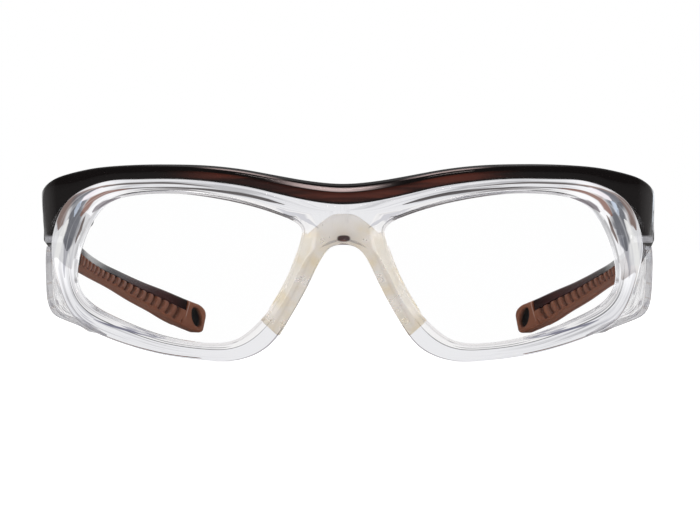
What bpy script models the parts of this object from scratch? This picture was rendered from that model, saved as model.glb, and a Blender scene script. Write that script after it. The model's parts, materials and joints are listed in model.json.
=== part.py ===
"""Wraparound protective glasses with a clear front, a dark brow bar and folding temples.

Metres, +Z up. The front looks towards -Y and the temples run to +Y, and the wearer's right side
is at -X. X = 0 is the middle of the nose bridge. The pieces are modelled with the bridge's front
face at Y = 0, and stand_on_floor then sets the whole model over the origin.
"""
import math

import bmesh
import bpy
import numpy as np
from mathutils import Matrix, Vector

# Clearances
GAP = 0.0003                # between neighbouring pieces
OVERCUT = 0.0009            # how far a cutter runs past the face that it opens

FINE = 200                  # samples along a curve where it is only measured

# Front: the two lens openings and the rims around them
EYE_WIDTH = 0.0549
EYE_HEIGHT = 0.0351
BRIDGE_WIDTH = 0.0194       # between the two lens openings
RIM_BOTTOM = 0.00405        # the rim's width under the lens
FRONT_THICK = 0.0042
FRONT_ROUND = 0.0009        # radius on the edges of the front
WRAP_RADIUS = 0.130         # curve of the front seen from above
RISE_RADIUS = 0.160         # curve of the front seen from the side
BRIDGE_TOP = 0.0365         # height of the clear bridge's upper edge
ARCH_TOP = 0.0273           # height of the arch over the nose
ARCH_SHOULDER = 0.0046      # half width of the arch just under its top
ARCH_DROP = 0.0017          # how far that place lies below the top

# Each row: place along the eye's width, place up its height, and the rim's width there as a
# multiple of its width under the lens. Rows without a rim lie on the bridge.
EYE_SHAPE = (
    (0.005, 0.779, None), (0.004, 0.694, None), (0.056, 0.447, 1.170), (0.126, 0.253, 1.200),
    (0.214, 0.100, 1.430), (0.302, 0.013, 1.160), (0.424, 0.000, 1.000), (0.607, 0.043, 1.090),
    (0.807, 0.154, 1.310), (0.944, 0.265, 1.410), (1.000, 0.410, 1.235), (0.985, 0.610, 1.980),
    (0.927, 0.823, 2.100), (0.843, 0.951, 1.333), (0.707, 0.999, 0.914), (0.506, 1.000, 0.889),
    (0.260, 0.936, 1.037), (0.069, 0.842, 1.235),
)
EYE_POINTS = 42             # points on one lens opening
FRONT_POINTS = 92           # points on the outer edge of the front
FRONT_STRIP = 0.0110        # width of the strips that make the front's curve

# Lenses
LENS_THICK = 0.0020
BEVEL_HEIGHT = 0.0007       # how far the lens's edge stands into the groove of the rim
BEVEL_ROOT = 0.0009         # width of that edge at the lens
BEVEL_TIP = 0.0003          # width of that edge at its crest
LENS_RINGS = (0.3, 0.7)     # shares of the lens's outline at which its faces have a ring

# Brow bar, with its end pieces
BROW_PROUD = 0.0005         # how far the bar stands in front of the clear front
BROW_ROUND = 0.0011
BROW_HEIGHT = 0.0049        # above the clear front in the middle
BROW_RISE = 0.0048          # from there up to its highest places
BROW_THICK = 0.0047
SIDE_ROOM = 0.0106          # from a lens opening out to the end piece's outer face
CORNER_WIDTH = 0.0122       # width of the turn into the end piece
HINGE_Y = 0.0350            # back face of an end piece
END_LOW = 0.0275
END_TOP = 0.0393
END_THICK = 0.0064
END_LEAN = 0.0013           # how far the corner's lower edge is drawn in under its upper edge
LEAN_RUN = 0.0065           # length over which that ends before the hinge
# Each row: share of the way out to the corner, share of the rise of the upper edge, thickness
# as a multiple of its thickness in the middle.
BROW_ROWS = (
    (0.0000, 0.000, 1.000), (0.1270, 0.146, 1.000), (0.2619, 0.458, 1.000),
    (0.3841, 0.750, 1.000), (0.5159, 0.938, 1.000), (0.6508, 1.000, 1.000),
    (0.7857, 1.000, 1.021), (0.9175, 0.917, 1.064), (1.0000, 0.771, 1.106),
)
# The turn from the front into the end piece. Each row: share of the way out, share of the way
# back, share of the drop of the lower edge, share of the drop of the upper edge, inward turn.
CORNER_ROWS = (
    (0.64, 0.24, 0.42, 0.29, 0.42), (0.93, 0.45, 0.83, 0.65, 0.75), (1.00, 0.70, 0.97, 0.93, 0.96),
    (1.00, 1.00, 1.00, 1.00, 1.00),
)
BROW_STATIONS = 60

# Side shields
SHIELD_THICK = 0.0015
SHIELD_INSET = 0.0006       # from the rim's outer edge
SHIELD_RUN = 0.0182         # from the end piece's outer face in to where it runs out under the rim
SHIELD_FLARE = 0.0055       # how far its rear edge stands out beyond its front edge
SHIELD_BACK = 0.0125        # how far its rear edge lies behind the rim
SHIELD_DIP = 0.0012         # how far its rear edge lies below its front edge
SHIELD_BULGE = 0.0006
# Each row: share of the way down its front edge, of the flare and of the way back.
SHIELD_ROWS = (
    (0.00, 0.45, 0.92), (0.20, 0.62, 1.00), (0.42, 0.90, 1.00), (0.54, 0.97, 0.96),
    (0.61, 0.86, 0.90), (0.67, 0.56, 0.83), (0.73, 0.30, 0.75), (0.80, 0.12, 0.66),
    (0.90, 0.05, 0.53), (1.00, 0.03, 0.38),
)
SHIELD_STATIONS = 22

# Nose saddle
SADDLE_THICK = 0.0024       # at the bridge
SADDLE_BELOW = 0.0021       # from the clear front's upper edge down to the saddle's top
PAD_OUT = 0.0096            # how far the pads' lower ends lie outside the lens openings' edge
PAD_DEPTH = 0.0062          # how far the pads stand behind the rims
# Each row, from the pad's lower end to the bridge: outer edge and nose edge, each as a share of
# the pads' spread and a share of the saddle's top, then the share of the pad's full depth at the
# nose edge.
SADDLE_ROWS = (
    (0.990, 0.267, 0.793, 0.169, 0.40), (0.912, 0.352, 0.689, 0.267, 0.85),
    (0.808, 0.448, 0.585, 0.366, 1.00), (0.689, 0.573, 0.461, 0.491, 1.00),
    (0.596, 0.698, 0.332, 0.645, 0.85), (0.534, 0.794, 0.238, 0.730, 0.50),
    (0.420, 0.872, 0.166, 0.773, 0.15), (0.259, 0.948, 0.083, 0.797, 0.00),
    (0.130, 0.994, 0.041, 0.802, 0.00), (0.000, 1.000, 0.000, 0.802, 0.00),
)
SADDLE_STATIONS = 41

# Temples
TEMPLE_REACH = 0.1190       # from the hinge face back to the tip
TEMPLE_HOOK = 0.0265        # how far the tip curves in from the end piece
TEMPLE_DROP = 0.0292        # how far the tip lies below the hinge
# Each row: share of the reach, of the hook, of the drop, then height and thickness as shares of
# the end piece's.
TEMPLE_ROWS = (
    (0.000, 0.000, 0.000, 1.000, 1.000), (0.065, 0.000, 0.070, 0.924, 1.000),
    (0.105, 0.000, 0.114, 0.847, 1.094), (0.150, 0.000, 0.161, 0.763, 1.000),
    (0.225, 0.000, 0.228, 0.600, 0.719), (0.330, 0.008, 0.327, 0.460, 0.640),
    (0.510, 0.087, 0.453, 0.390, 0.620), (0.650, 0.221, 0.564, 0.400, 0.660),
    (0.768, 0.389, 0.685, 0.480, 0.700), (0.860, 0.564, 0.787, 0.550, 0.750),
    (0.930, 0.751, 0.891, 0.620, 0.766), (1.000, 1.000, 1.000, 0.650, 0.766),
)
TEMPLE_ROUND = 0.0008
LEAN_START = 0.10           # share of the reach where the sections start to lean with the slope
LEAN_SHARE = 0.15           # share of the reach over which they come to stand square to it
ROOT_STATIONS = 14          # sections in front of the grip
TEMPLE_STATIONS = 26        # sections along the grip
BOSS_LENGTH = 0.0110        # the swelling on the inner face, just behind the hinge leaf
BOSS_HEIGHT = 0.0050
BOSS_RISE = 0.0030          # above the arm's middle
BOSS_DEPTH = 0.0038         # how far it stands inwards

# Rubber grips
GRIP_START = 0.30           # share of the temple's length
GRIP_WALL = 0.0017          # arm left outside the grip
GRIP_SHARE = 0.60           # share of the temple's height that the grip covers
GRIP_PROUD = 0.0003
RIB_COUNT = 18              # grooves across the grip's inner face
RIB_OPEN = 0.40             # share of the pitch that a groove takes
RIB_DEPTH = 0.0006
TIP_LENGTH = 0.0095         # closed rubber tip
TIP_WALL = 0.0012
TIP_ROUND = 0.0012          # length of the rounding at the tip's end
TIP_SHARE = 0.75            # size of the tip's end face as a share of its section
TONGUE_STATIONS = 6         # sections along the arm's tongue in the tip
WINDOW_HEIGHT = 0.0042
WINDOW_WIDTH = 0.0036
WINDOW_PLACE = 0.56         # share of the tip's length at which it sits
WINDOW_SIDES = 16

# Hinges
HINGE_IN = 0.0018           # hinge axis from the inner face of the end piece
KNUCKLE_RADIUS = 0.0015
LEAF_THICK = 0.0010
LEAF_LENGTH = 0.0075
LEAF_HEIGHT = 0.0080
KNUCKLES = 5
KNUCKLE_POINTS = 10
PIN_SIDES = 8
SCREW_SIDES = 6
SCREW_RADIUS = 0.00045
SCREW_HEAD = 0.0009
SCREW_HEAD_HIGH = 0.0004
LEAF_SCREW_DEPTH = 0.0022   # into the plastic

CLEAR = ("clear_plastic", (0.93, 0.94, 0.96), 0.05, 0.0)
LENS = ("clear_lens", (0.97, 0.98, 0.99), 0.02, 0.0)
BROWN = ("dark_brown_plastic", (0.030, 0.018, 0.015), 0.12, 0.0)
SILICONE = ("soft_silicone", (0.72, 0.66, 0.58), 0.35, 0.0)
RUBBER = ("brown_rubber", (0.16, 0.065, 0.035), 0.60, 0.0)
STEEL = ("hinge_steel", (0.55, 0.55, 0.56), 0.30, 1.0)

HALF_WIDTH = BRIDGE_WIDTH / 2 + EYE_WIDTH + SIDE_ROOM
SHIELD_END = HALF_WIDTH - SHIELD_RUN
HINGE_X = HALF_WIDTH - END_THICK - HINGE_IN
HINGE_AXIS_Y = HINGE_Y + GAP / 2
HINGE_Z = (END_LOW + END_TOP) / 2
MIDDLE_Z = RIM_BOTTOM + EYE_HEIGHT / 2


# --- curves ---------------------------------------------------------------------------------

def smooth(points, count, closed=False, axes=2):
    """Points along the Catmull-Rom curve through the given points, evenly spaced in their
    first `axes` columns."""
    p = np.array(points, float)
    if closed:
        p = np.vstack([p[-1], p, p[0], p[1]])
    else:
        p = np.vstack([2 * p[0] - p[1], p, 2 * p[-1] - p[-2]])
    t = np.linspace(0, 1, 24, endpoint=False)[:, None]
    spans = []
    for a, b, c, d in zip(p, p[1:], p[2:], p[3:]):
        spans.append(0.5 * (2 * b + (c - a) * t + (2 * a - 5 * b + 4 * c - d) * t ** 2
                            + (3 * b - a - 3 * c + d) * t ** 3))
    dense = np.vstack(spans + [p[-2:-1]])
    steps = np.linalg.norm(np.diff(dense[:, :axes], axis=0), axis=1)
    length = np.concatenate([[0], np.cumsum(steps)])
    at = np.linspace(0, length[-1], count, endpoint=not closed)
    return np.column_stack([np.interp(at, length, column) for column in dense.T])


def outward(loop):
    """Unit normals that point out of a closed counter-clockwise loop."""
    along = np.roll(loop, -1, axis=0) - np.roll(loop, 1, axis=0)
    normal = np.column_stack([along[:, 1], -along[:, 0]])
    return normal / np.linalg.norm(normal, axis=1)[:, None]


def depth(x, z):
    """How far the front's outer face lies back at a place on it: a curve both ways."""
    wrap = WRAP_RADIUS - np.sqrt(WRAP_RADIUS ** 2 - x ** 2)
    rise = RISE_RADIUS - np.sqrt(RISE_RADIUS ** 2 - (z - MIDDLE_Z) ** 2)
    return wrap + rise


def eye_points():
    """The control points of the left lens opening, counter-clockwise seen from the front."""
    rows = np.array([row[:2] for row in EYE_SHAPE])
    return np.column_stack([BRIDGE_WIDTH / 2 + rows[:, 0] * EYE_WIDTH,
                            RIM_BOTTOM + rows[:, 1] * EYE_HEIGHT])


def grown(loop, distance):
    return loop + outward(loop) * distance


def eye_outline(distance=0.0):
    """The lens opening as a loop of points, moved outwards by a distance."""
    return grown(smooth(eye_points(), EYE_POINTS, closed=True), distance)


def front_outline():
    """The outer edge of the clear front, counter-clockwise seen from the front."""
    eye = eye_points()
    normal = outward(eye)
    edge = [(0.0, ARCH_TOP), (ARCH_SHOULDER, ARCH_TOP - ARCH_DROP)]
    for point, away, (_, _, rim) in zip(eye, normal, EYE_SHAPE):
        if rim:
            edge.append(tuple(point + away * rim * RIM_BOTTOM))
    edge.append((0.0, BRIDGE_TOP))
    other = [(-x, z) for x, z in reversed(edge[1:-1])]
    return smooth(edge + other, FRONT_POINTS, closed=True)


def front_top(x):
    """Height of the clear front's upper edge at a distance from the middle, and the lowest
    possible height where the front doesn't reach."""
    loop = front_outline()
    widest = loop[np.argmax(loop[:, 0])]
    over_arch = (loop[:, 0] < BRIDGE_WIDTH / 2) & (loop[:, 1] < (ARCH_TOP + BRIDGE_TOP) / 2)
    upper = loop[(loop[:, 0] > -GAP) & (loop[:, 1] >= widest[1]) & ~over_arch]
    order = np.argsort(upper[:, 0])
    return np.interp(x, upper[order, 0], upper[order, 1], right=0.0)


# --- meshes ---------------------------------------------------------------------------------

def material(name, colour, rough, metal):
    found = bpy.data.materials.get(name)
    if found:
        return found
    made = bpy.data.materials.new(name)
    made.use_nodes = True
    shader = made.node_tree.nodes["Principled BSDF"]
    shader.inputs["Base Color"].default_value = (*colour, 1.0)
    shader.inputs["Roughness"].default_value = rough
    shader.inputs["Metallic"].default_value = metal
    made.diffuse_color = (*colour, 1.0)
    return made


def add_object(name, bm, look, parent=None):
    """Turn a bmesh in world coordinates into an object, under its parent's origin."""
    if parent:
        bmesh.ops.translate(bm, vec=-parent.location, verts=bm.verts)
    mesh = bpy.data.meshes.new(name)
    bm.to_mesh(mesh)
    bm.free()
    mesh.materials.append(material(*look))
    mesh.shade_smooth()
    mesh.set_sharp_from_angle(angle=math.radians(35))
    obj = bpy.data.objects.new(name, mesh)
    bpy.context.scene.collection.objects.link(obj)
    obj.parent = parent
    return obj


def add_pair(name, bm, look, parents=None):
    """The left piece, and its mirror image on the right."""
    other = bm.copy()
    bmesh.ops.scale(other, vec=(-1, 1, 1), verts=other.verts)
    bmesh.ops.reverse_faces(other, faces=other.faces)
    right, left = parents or (None, None)
    add_object("left_" + name, bm, look, left)
    add_object("right_" + name, other, look, right)


def loft(rings):
    """A closed body through rings with equal numbers of points."""
    bm = bmesh.new()
    loops = [[bm.verts.new(point) for point in ring] for ring in rings]
    for near, far in zip(loops, loops[1:]):
        for k in range(len(near)):
            n = (k + 1) % len(near)
            bm.faces.new((near[k], near[n], far[n], far[k]))
    bm.faces.new(loops[0][::-1])
    bm.faces.new(loops[-1])
    bmesh.ops.recalc_face_normals(bm, faces=bm.faces)
    return bm


def box(low, high):
    bm = bmesh.new()
    bmesh.ops.create_cube(bm, size=1)
    size = Vector(high) - Vector(low)
    bmesh.ops.scale(bm, vec=size, verts=bm.verts)
    bmesh.ops.translate(bm, vec=(Vector(low) + Vector(high)) / 2, verts=bm.verts)
    return bm


def plate(loops, thick, edge=0.0):
    """A flat plate in X and Z, made from a filled outline with holes and rounded edges."""
    curve = bpy.data.curves.new("outline", "CURVE")
    curve.dimensions = "2D"
    curve.fill_mode = "BOTH"
    curve.extrude = thick / 2 - edge
    curve.bevel_depth = edge
    curve.bevel_resolution = 1
    curve.offset = -edge
    for loop in loops:
        spline = curve.splines.new("POLY")
        spline.points.add(len(loop) - 1)
        for point, (x, z) in zip(spline.points, loop):
            point.co = (x, z, 0, 1)
        spline.use_cyclic_u = True
    holder = bpy.data.objects.new("outline", curve)
    bpy.context.scene.collection.objects.link(holder)
    graph = bpy.context.evaluated_depsgraph_get()
    mesh = bpy.data.meshes.new_from_object(holder.evaluated_get(graph))
    bpy.data.objects.remove(holder)
    bpy.data.curves.remove(curve)
    bm = bmesh.new()
    bm.from_mesh(mesh)
    bpy.data.meshes.remove(mesh)
    bmesh.ops.remove_doubles(bm, verts=bm.verts, dist=1e-6)
    bmesh.ops.rotate(bm, matrix=Matrix.Rotation(math.pi / 2, 3, "X"), verts=bm.verts)
    bmesh.ops.recalc_face_normals(bm, faces=bm.faces)
    return bm


def combine(bm, others, operation):
    """Join other bodies to a body or cut them from it, and return the result."""
    graph_objects = []
    for k, part in enumerate([bm] + others):
        mesh = bpy.data.meshes.new("part")
        part.to_mesh(mesh)
        part.free()
        obj = bpy.data.objects.new("part%d" % k, mesh)
        bpy.context.scene.collection.objects.link(obj)
        graph_objects.append(obj)
    base = graph_objects[0]
    for other in graph_objects[1:]:
        modifier = base.modifiers.new("cut", "BOOLEAN")
        modifier.operation = operation
        modifier.object = other
    graph = bpy.context.evaluated_depsgraph_get()
    mesh = bpy.data.meshes.new_from_object(base.evaluated_get(graph))
    result = bmesh.new()
    result.from_mesh(mesh)
    for obj in graph_objects:
        used = obj.data
        bpy.data.objects.remove(obj)
        bpy.data.meshes.remove(used)
    bpy.data.meshes.remove(mesh)
    bmesh.ops.remove_doubles(result, verts=result.verts, dist=1e-6)
    return result


def turned(profile, sides, place, axis="Z"):
    """A round body: profile points (radius, height) turned about an axis through `place`."""
    angles = [2 * math.pi * k / sides for k in range(sides)]
    rings = []
    for radius, height in profile:
        rings.append([Vector((radius * math.cos(a), radius * math.sin(a), height)) for a in angles])
    bm = loft(rings)
    if axis == "X":
        bmesh.ops.rotate(bm, matrix=Matrix.Rotation(math.pi / 2, 3, "Y"), verts=bm.verts)
    bmesh.ops.translate(bm, vec=Vector(place), verts=bm.verts)
    return bm


# --- front ----------------------------------------------------------------------------------

def lens_disc(profile, rings=()):
    """A body shaped like the lens opening: rows of (grow, y) around its rim, bent with the
    front, with inner rings that carry the curve across it."""
    middle = eye_points().mean(axis=0)
    first, last = profile[0], profile[-1]
    loops = []
    for share in rings:
        loops.append((middle + (eye_outline(first[0]) - middle) * share, first[1]))
    for grow, y in profile:
        loops.append((eye_outline(grow), y))
    for share in reversed(rings):
        loops.append((middle + (eye_outline(last[0]) - middle) * share, last[1]))
    return [[(x, y, z) for x, z in loop] for loop, y in loops]


def bend(bm):
    """Set a flat body halfway into the front's thickness and lay it on the front's curve."""
    for vert in bm.verts:
        vert.co.y += FRONT_THICK / 2 + float(depth(vert.co.x, vert.co.z))


def lay_on_curve(bm):
    """Cut a plate into upright strips, so that it can follow the curve, and bend it."""
    for x in np.arange(-HALF_WIDTH, HALF_WIDTH, FRONT_STRIP):
        everything = bm.verts[:] + bm.edges[:] + bm.faces[:]
        bmesh.ops.bisect_plane(bm, geom=everything, dist=1e-7, plane_co=(x, 0, 0),
                               plane_no=(1, 0, 0))
    bend(bm)


def make_front():
    """One clear moulding: rims, bridge and a V groove round each lens opening."""
    eye = eye_outline()
    mirrored = eye * (-1, 1)
    bm = plate([front_outline(), eye, mirrored], FRONT_THICK, FRONT_ROUND)
    groove = []
    root = BEVEL_ROOT / 2 + GAP
    crest = BEVEL_TIP / 2 + GAP
    slope = (root - crest) / (BEVEL_HEIGHT + GAP)
    mouth = root + slope * OVERCUT
    profile = ((-OVERCUT, -mouth), (BEVEL_HEIGHT, -crest), (BEVEL_HEIGHT, crest), (-OVERCUT, mouth))
    for side in (1, -1):
        ring = lens_disc(profile)
        cutter = loft([[(side * x, y, z) for x, y, z in loop] for loop in ring])
        groove.append(cutter)
    bm = combine(bm, groove, "DIFFERENCE")
    lay_on_curve(bm)
    add_object("front_frame", bm, CLEAR)


def make_lenses():
    """A curved lens with a V bevel on its edge, which sits in the groove of the rim."""
    half = LENS_THICK / 2
    profile = ((-GAP, -half), (-GAP, -BEVEL_ROOT / 2), (BEVEL_HEIGHT - GAP, -BEVEL_TIP / 2),
               (BEVEL_HEIGHT - GAP, BEVEL_TIP / 2), (-GAP, BEVEL_ROOT / 2), (-GAP, half))
    bm = loft(lens_disc(profile, LENS_RINGS))
    bend(bm)
    add_pair("lens", bm, LENS)


def brow_rows():
    """Rows of the brow bar from the middle to the left hinge: outer point, inward direction,
    lower edge, upper edge and thickness."""
    rows = []
    for out, rise, thick in BROW_ROWS:
        x = out * (HALF_WIDTH - CORNER_WIDTH)
        low = float(front_top(x)) + GAP
        top = BRIDGE_TOP + BROW_HEIGHT + rise * BROW_RISE
        y = float(depth(x, (low + top) / 2)) - BROW_PROUD
        rows.append((x, y, 0.0, low, top, thick * BROW_THICK))
    x0, y0, _, low0, top0, thick0 = rows[-1]
    for out, back, low, top, turn in CORNER_ROWS:
        rows.append((x0 + (HALF_WIDTH - x0) * out, y0 + (HINGE_Y - y0) * back,
                     turn * math.pi / 2, low0 + (END_LOW - low0) * low,
                     top0 + (END_TOP - top0) * top, thick0 + (END_THICK - thick0) * turn))
    return rows


def bar_ring(x, y, turn, low, top, thick, edge, lean):
    """A rounded cross-section of the bar, standing upright on its plan curve."""
    inward = (-math.sin(turn), math.cos(turn))
    section = ((edge + lean, low), (0.3 * edge + lean, low + 0.3 * edge), (lean, low + edge),
               (0, top - edge),
               (0.3 * edge, top - 0.3 * edge), (edge, top), (thick - edge, top),
               (thick, top - edge), (thick, low + edge), (thick - edge, low))
    return [(x + inward[0] * a, y + inward[1] * a, b) for a, b in section]


def make_brow():
    """The dark bar along the top of the front, which turns back into both end pieces."""
    left = brow_rows()
    right = [(-x, y, -turn, low, top, thick) for x, y, turn, low, top, thick in left[:0:-1]]
    rings = []
    for x, y, turn, low, top, thick in smooth(right + left, BROW_STATIONS):
        low = max(low, float(front_top(abs(x))) + GAP)
        lean = END_LEAN * min(abs(turn), 1.0) * min(max((HINGE_Y - y) / LEAN_RUN, 0.0), 1.0)
        rings.append(bar_ring(x, y, turn, low, top, thick, BROW_ROUND, lean))
    bm = loft(rings)
    seat = plate([grown(front_outline(), GAP)], FRONT_THICK + 2 * GAP)
    lay_on_curve(seat)
    cuts = leaf_cuts(1, -1) + leaf_cuts(-1, -1) + [seat]
    add_object("brow_bar", combine(bm, cuts, "DIFFERENCE"), BROWN)


def shield_front():
    """The line behind the rim's outer edge that a shield starts from, top to bottom."""
    loop = front_outline()
    loop = grown(loop, -SHIELD_INSET)
    side = loop[(loop[:, 0] > SHIELD_END) & (loop[:, 1] < END_LOW)]
    line = smooth(side[::-1], FINE)
    top = np.array([[np.interp(END_LOW - GAP, side[:, 1], side[:, 0]), END_LOW - GAP]])
    return smooth(np.vstack([top, line[line[:, 1] < END_LOW - 2 * GAP]]), SHIELD_STATIONS)


def make_shields():
    """A thin curved wall from behind the rim's outer edge out to the side of the eye."""
    fine = smooth(SHIELD_ROWS, FINE)
    share = np.linspace(0, 1, SHIELD_STATIONS)
    flare = np.interp(share, fine[:, 0], fine[:, 1])
    back = np.interp(share, fine[:, 0], fine[:, 2])
    edge = shield_front()
    near = depth(edge[:, 0], edge[:, 1]) + FRONT_THICK + GAP
    front = np.column_stack([edge[:, 0], near, edge[:, 1]])
    rear = front + np.column_stack([SHIELD_FLARE * flare, SHIELD_BACK * back, -SHIELD_DIP * flare])
    rear[:, 2] = np.minimum(rear[:, 2], END_LOW - GAP)
    wall = np.cross(np.gradient(front, axis=0), rear - front)
    wall *= SHIELD_THICK / np.linalg.norm(wall, axis=1)[:, None]
    middle = (front + rear) / 2 - wall * SHIELD_BULGE / SHIELD_THICK
    rings = np.stack([front, middle, rear, rear + wall, middle + wall, front + wall], axis=1)
    add_pair("side_shield", loft(rings), CLEAR)


def make_saddle():
    """One soft piece over the bridge and down the nose side of both rims."""
    spread = BRIDGE_WIDTH / 2 + PAD_OUT
    top = BRIDGE_TOP - SADDLE_BELOW
    left = list(SADDLE_ROWS)
    right = [(-a, b, -c, d, share) for a, b, c, d, share in left[-2::-1]]
    rings = []
    scale = np.array((spread, top, spread, top, 1.0))
    for ox, oz, nx, nz, share in smooth(np.array(left + right) * scale, SADDLE_STATIONS):
        outer = float(depth(ox, oz)) + FRONT_THICK + GAP
        nose = float(depth(nx, nz)) + FRONT_THICK + GAP
        thick = SADDLE_THICK + (PAD_DEPTH - SADDLE_THICK) * share
        rings.append([(ox, outer, oz), (nx, nose, nz), (nx, nose + thick, nz),
                      (ox, outer + SADDLE_THICK, oz)])
    add_object("nose_saddle", loft(rings), SILICONE)


# --- temples --------------------------------------------------------------------------------

def temple_at(places):
    """Rows at shares of the left temple's length: outer face (x, y), middle height, height
    and thickness."""
    points = []
    for reach, hook, drop, high, thick in TEMPLE_ROWS:
        points.append((HALF_WIDTH - TEMPLE_HOOK * hook, HINGE_Y + GAP + TEMPLE_REACH * reach,
                       HINGE_Z - TEMPLE_DROP * drop, high * (END_TOP - END_LOW), thick * END_THICK))
    fine = smooth(points, 3 * FINE, axes=3)
    at = np.array(places) * (len(fine) - 1)
    return np.column_stack([np.interp(at, np.arange(len(fine)), column) for column in fine.T])


def temple_rows(count, start=0.0, end=1.0):
    return temple_at(np.linspace(start, end, count))


def temple_length():
    return float(np.linalg.norm(np.diff(temple_rows(FINE)[:, :3], axis=0), axis=1).sum())


def slopes(rows):
    """The plan direction at each row, and how far its section leans along it per unit of height:
    upright at the hinge, square to the falling path from there on."""
    along = np.gradient(rows[:, :3], axis=0)
    run = np.linalg.norm(along[:, :2], axis=1)
    reach = (rows[:, 1] - HINGE_Y) / TEMPLE_REACH
    lean = -along[:, 2] / run * np.clip((reach - LEAN_START) / LEAN_SHARE, 0, 1)
    return along[:, :2] / run[:, None], lean


def stand(rows, sections):
    """Stand flat sections (inward, up) along the temple's plan curve."""
    rings = []
    for (x, y, middle, high, _), (dx, dy), lean, section in zip(rows, *slopes(rows), sections):
        ring = []
        for a, b in section:
            shift = lean * (b - high / 2)
            ring.append((x - dy * a + dx * shift, y + dx * a + dy * shift, middle - high / 2 + b))
        rings.append(ring)
    return rings


def arm_section(high, thick, grip):
    """The arm's section: a rounded bar, or the same bar cut back for the grip."""
    c = TEMPLE_ROUND
    body = [(c, 0), (0, c), (0, high - c), (c, high), (thick - c, high), (thick, high - c)]
    if grip:
        step = high * GRIP_SHARE
        return body + [(thick, step), (GRIP_WALL, step), (GRIP_WALL, 0)]
    return body + [(thick, high / 2), (thick, c), (thick - c, 0)]


def boss():
    """An egg-shaped swelling that stands out of the arm's inner face behind the hinge leaf."""
    middle = HINGE_AXIS_Y + LEAF_LENGTH + GAP + BOSS_LENGTH / 2
    fine = temple_rows(FINE)
    x, _, z, _, thick = fine[np.searchsorted(fine[:, 1], middle)]
    bm = bmesh.new()
    bmesh.ops.create_icosphere(bm, subdivisions=2, radius=1)
    bmesh.ops.scale(bm, vec=(BOSS_DEPTH, BOSS_LENGTH / 2, BOSS_HEIGHT / 2), verts=bm.verts)
    bmesh.ops.translate(bm, vec=(x - thick, middle, z + BOSS_RISE), verts=bm.verts)
    return bm


def tongue_places():
    """Shares of the temple's length at which the tongue in the tip has its sections."""
    length = temple_length()
    first, last = TIP_LENGTH - GAP, TIP_WALL + GAP
    return np.linspace(1 - first / length, 1 - last / length, TONGUE_STATIONS)


def tongue_body(wall, before, after):
    """The arm's tongue, or the pocket round it, inside a wall; it starts `before` gaps ahead of
    the tip and ends `after` gaps past the tongue."""
    step = GAP / temple_length()
    places = tongue_places()
    rows = temple_at(np.concatenate([[places[0] - (before + 1) * step], places[:-1],
                                     [places[-1] + after * step]]))
    sections = []
    for _, _, _, high, thick in rows:
        sections.append([(wall, wall), (wall, high - wall), (thick - wall, high - wall),
                         (thick - wall, wall)])
    return loft(stand(rows, sections))


def make_arms(parents):
    """The hard arm: a tall flat root at the hinge, a long recess for the grip, and a tongue."""
    tip = 1 - TIP_LENGTH / temple_length()
    step = GAP / temple_length()
    plain = temple_rows(ROOT_STATIONS, 0.0, GRIP_START)
    gripped = temple_rows(TEMPLE_STATIONS, GRIP_START + step, tip)
    rows = np.vstack([plain, gripped])
    sections = [arm_section(row[3], row[4], k >= ROOT_STATIONS) for k, row in enumerate(rows)]
    bm = combine(loft(stand(rows, sections)), leaf_cuts(1, 1), "DIFFERENCE")
    bm = combine(bm, [boss(), tongue_body(TIP_WALL + GAP, 2, 0)], "UNION")
    add_pair("temple_arm", bm, BROWN, parents)


def grip_section(high, thick, rib, closed):
    """The grip's section: a pad in the arm's recess, or the full tip."""
    c = TEMPLE_ROUND
    outer = GRIP_WALL + GAP
    top = high * GRIP_SHARE - GAP
    face = thick + GRIP_PROUD
    if closed:
        return [(c, 0), (0, c), (0, high - c), (c, high), (face - c, high), (face, high - c),
                (face, c), (face - c, 0)]
    return [(outer, 0), (outer, top), (face - 2 * c, top), (face - rib, top - c / 2),
            (face - rib, 0.45 * top), (face, 0.35 * top), (face, c), (face - 1.5 * c, 0)]


def window(tip):
    """An oval hole from the tip's inner face into its pocket."""
    middle = tip + WINDOW_PLACE * (1 - tip)
    step = GAP / temple_length()
    rows = temple_at((middle - step, middle, middle + step))
    directions, leans = slopes(rows)
    (x, y, z, _, thick), (dx, dy), lean = rows[1], directions[1], leans[1]
    rings = []
    for a in (thick - TIP_WALL - OVERCUT / 2, thick + TIP_WALL):
        ring = []
        for angle in np.linspace(0, 2 * math.pi, WINDOW_SIDES, endpoint=False):
            up = WINDOW_HEIGHT / 2 * math.sin(angle)
            along = WINDOW_WIDTH / 2 * math.cos(angle) + lean * up
            ring.append((x - dy * a + dx * along, y + dx * a + dy * along, z + up))
        rings.append(ring)
    return loft(rings)


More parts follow.
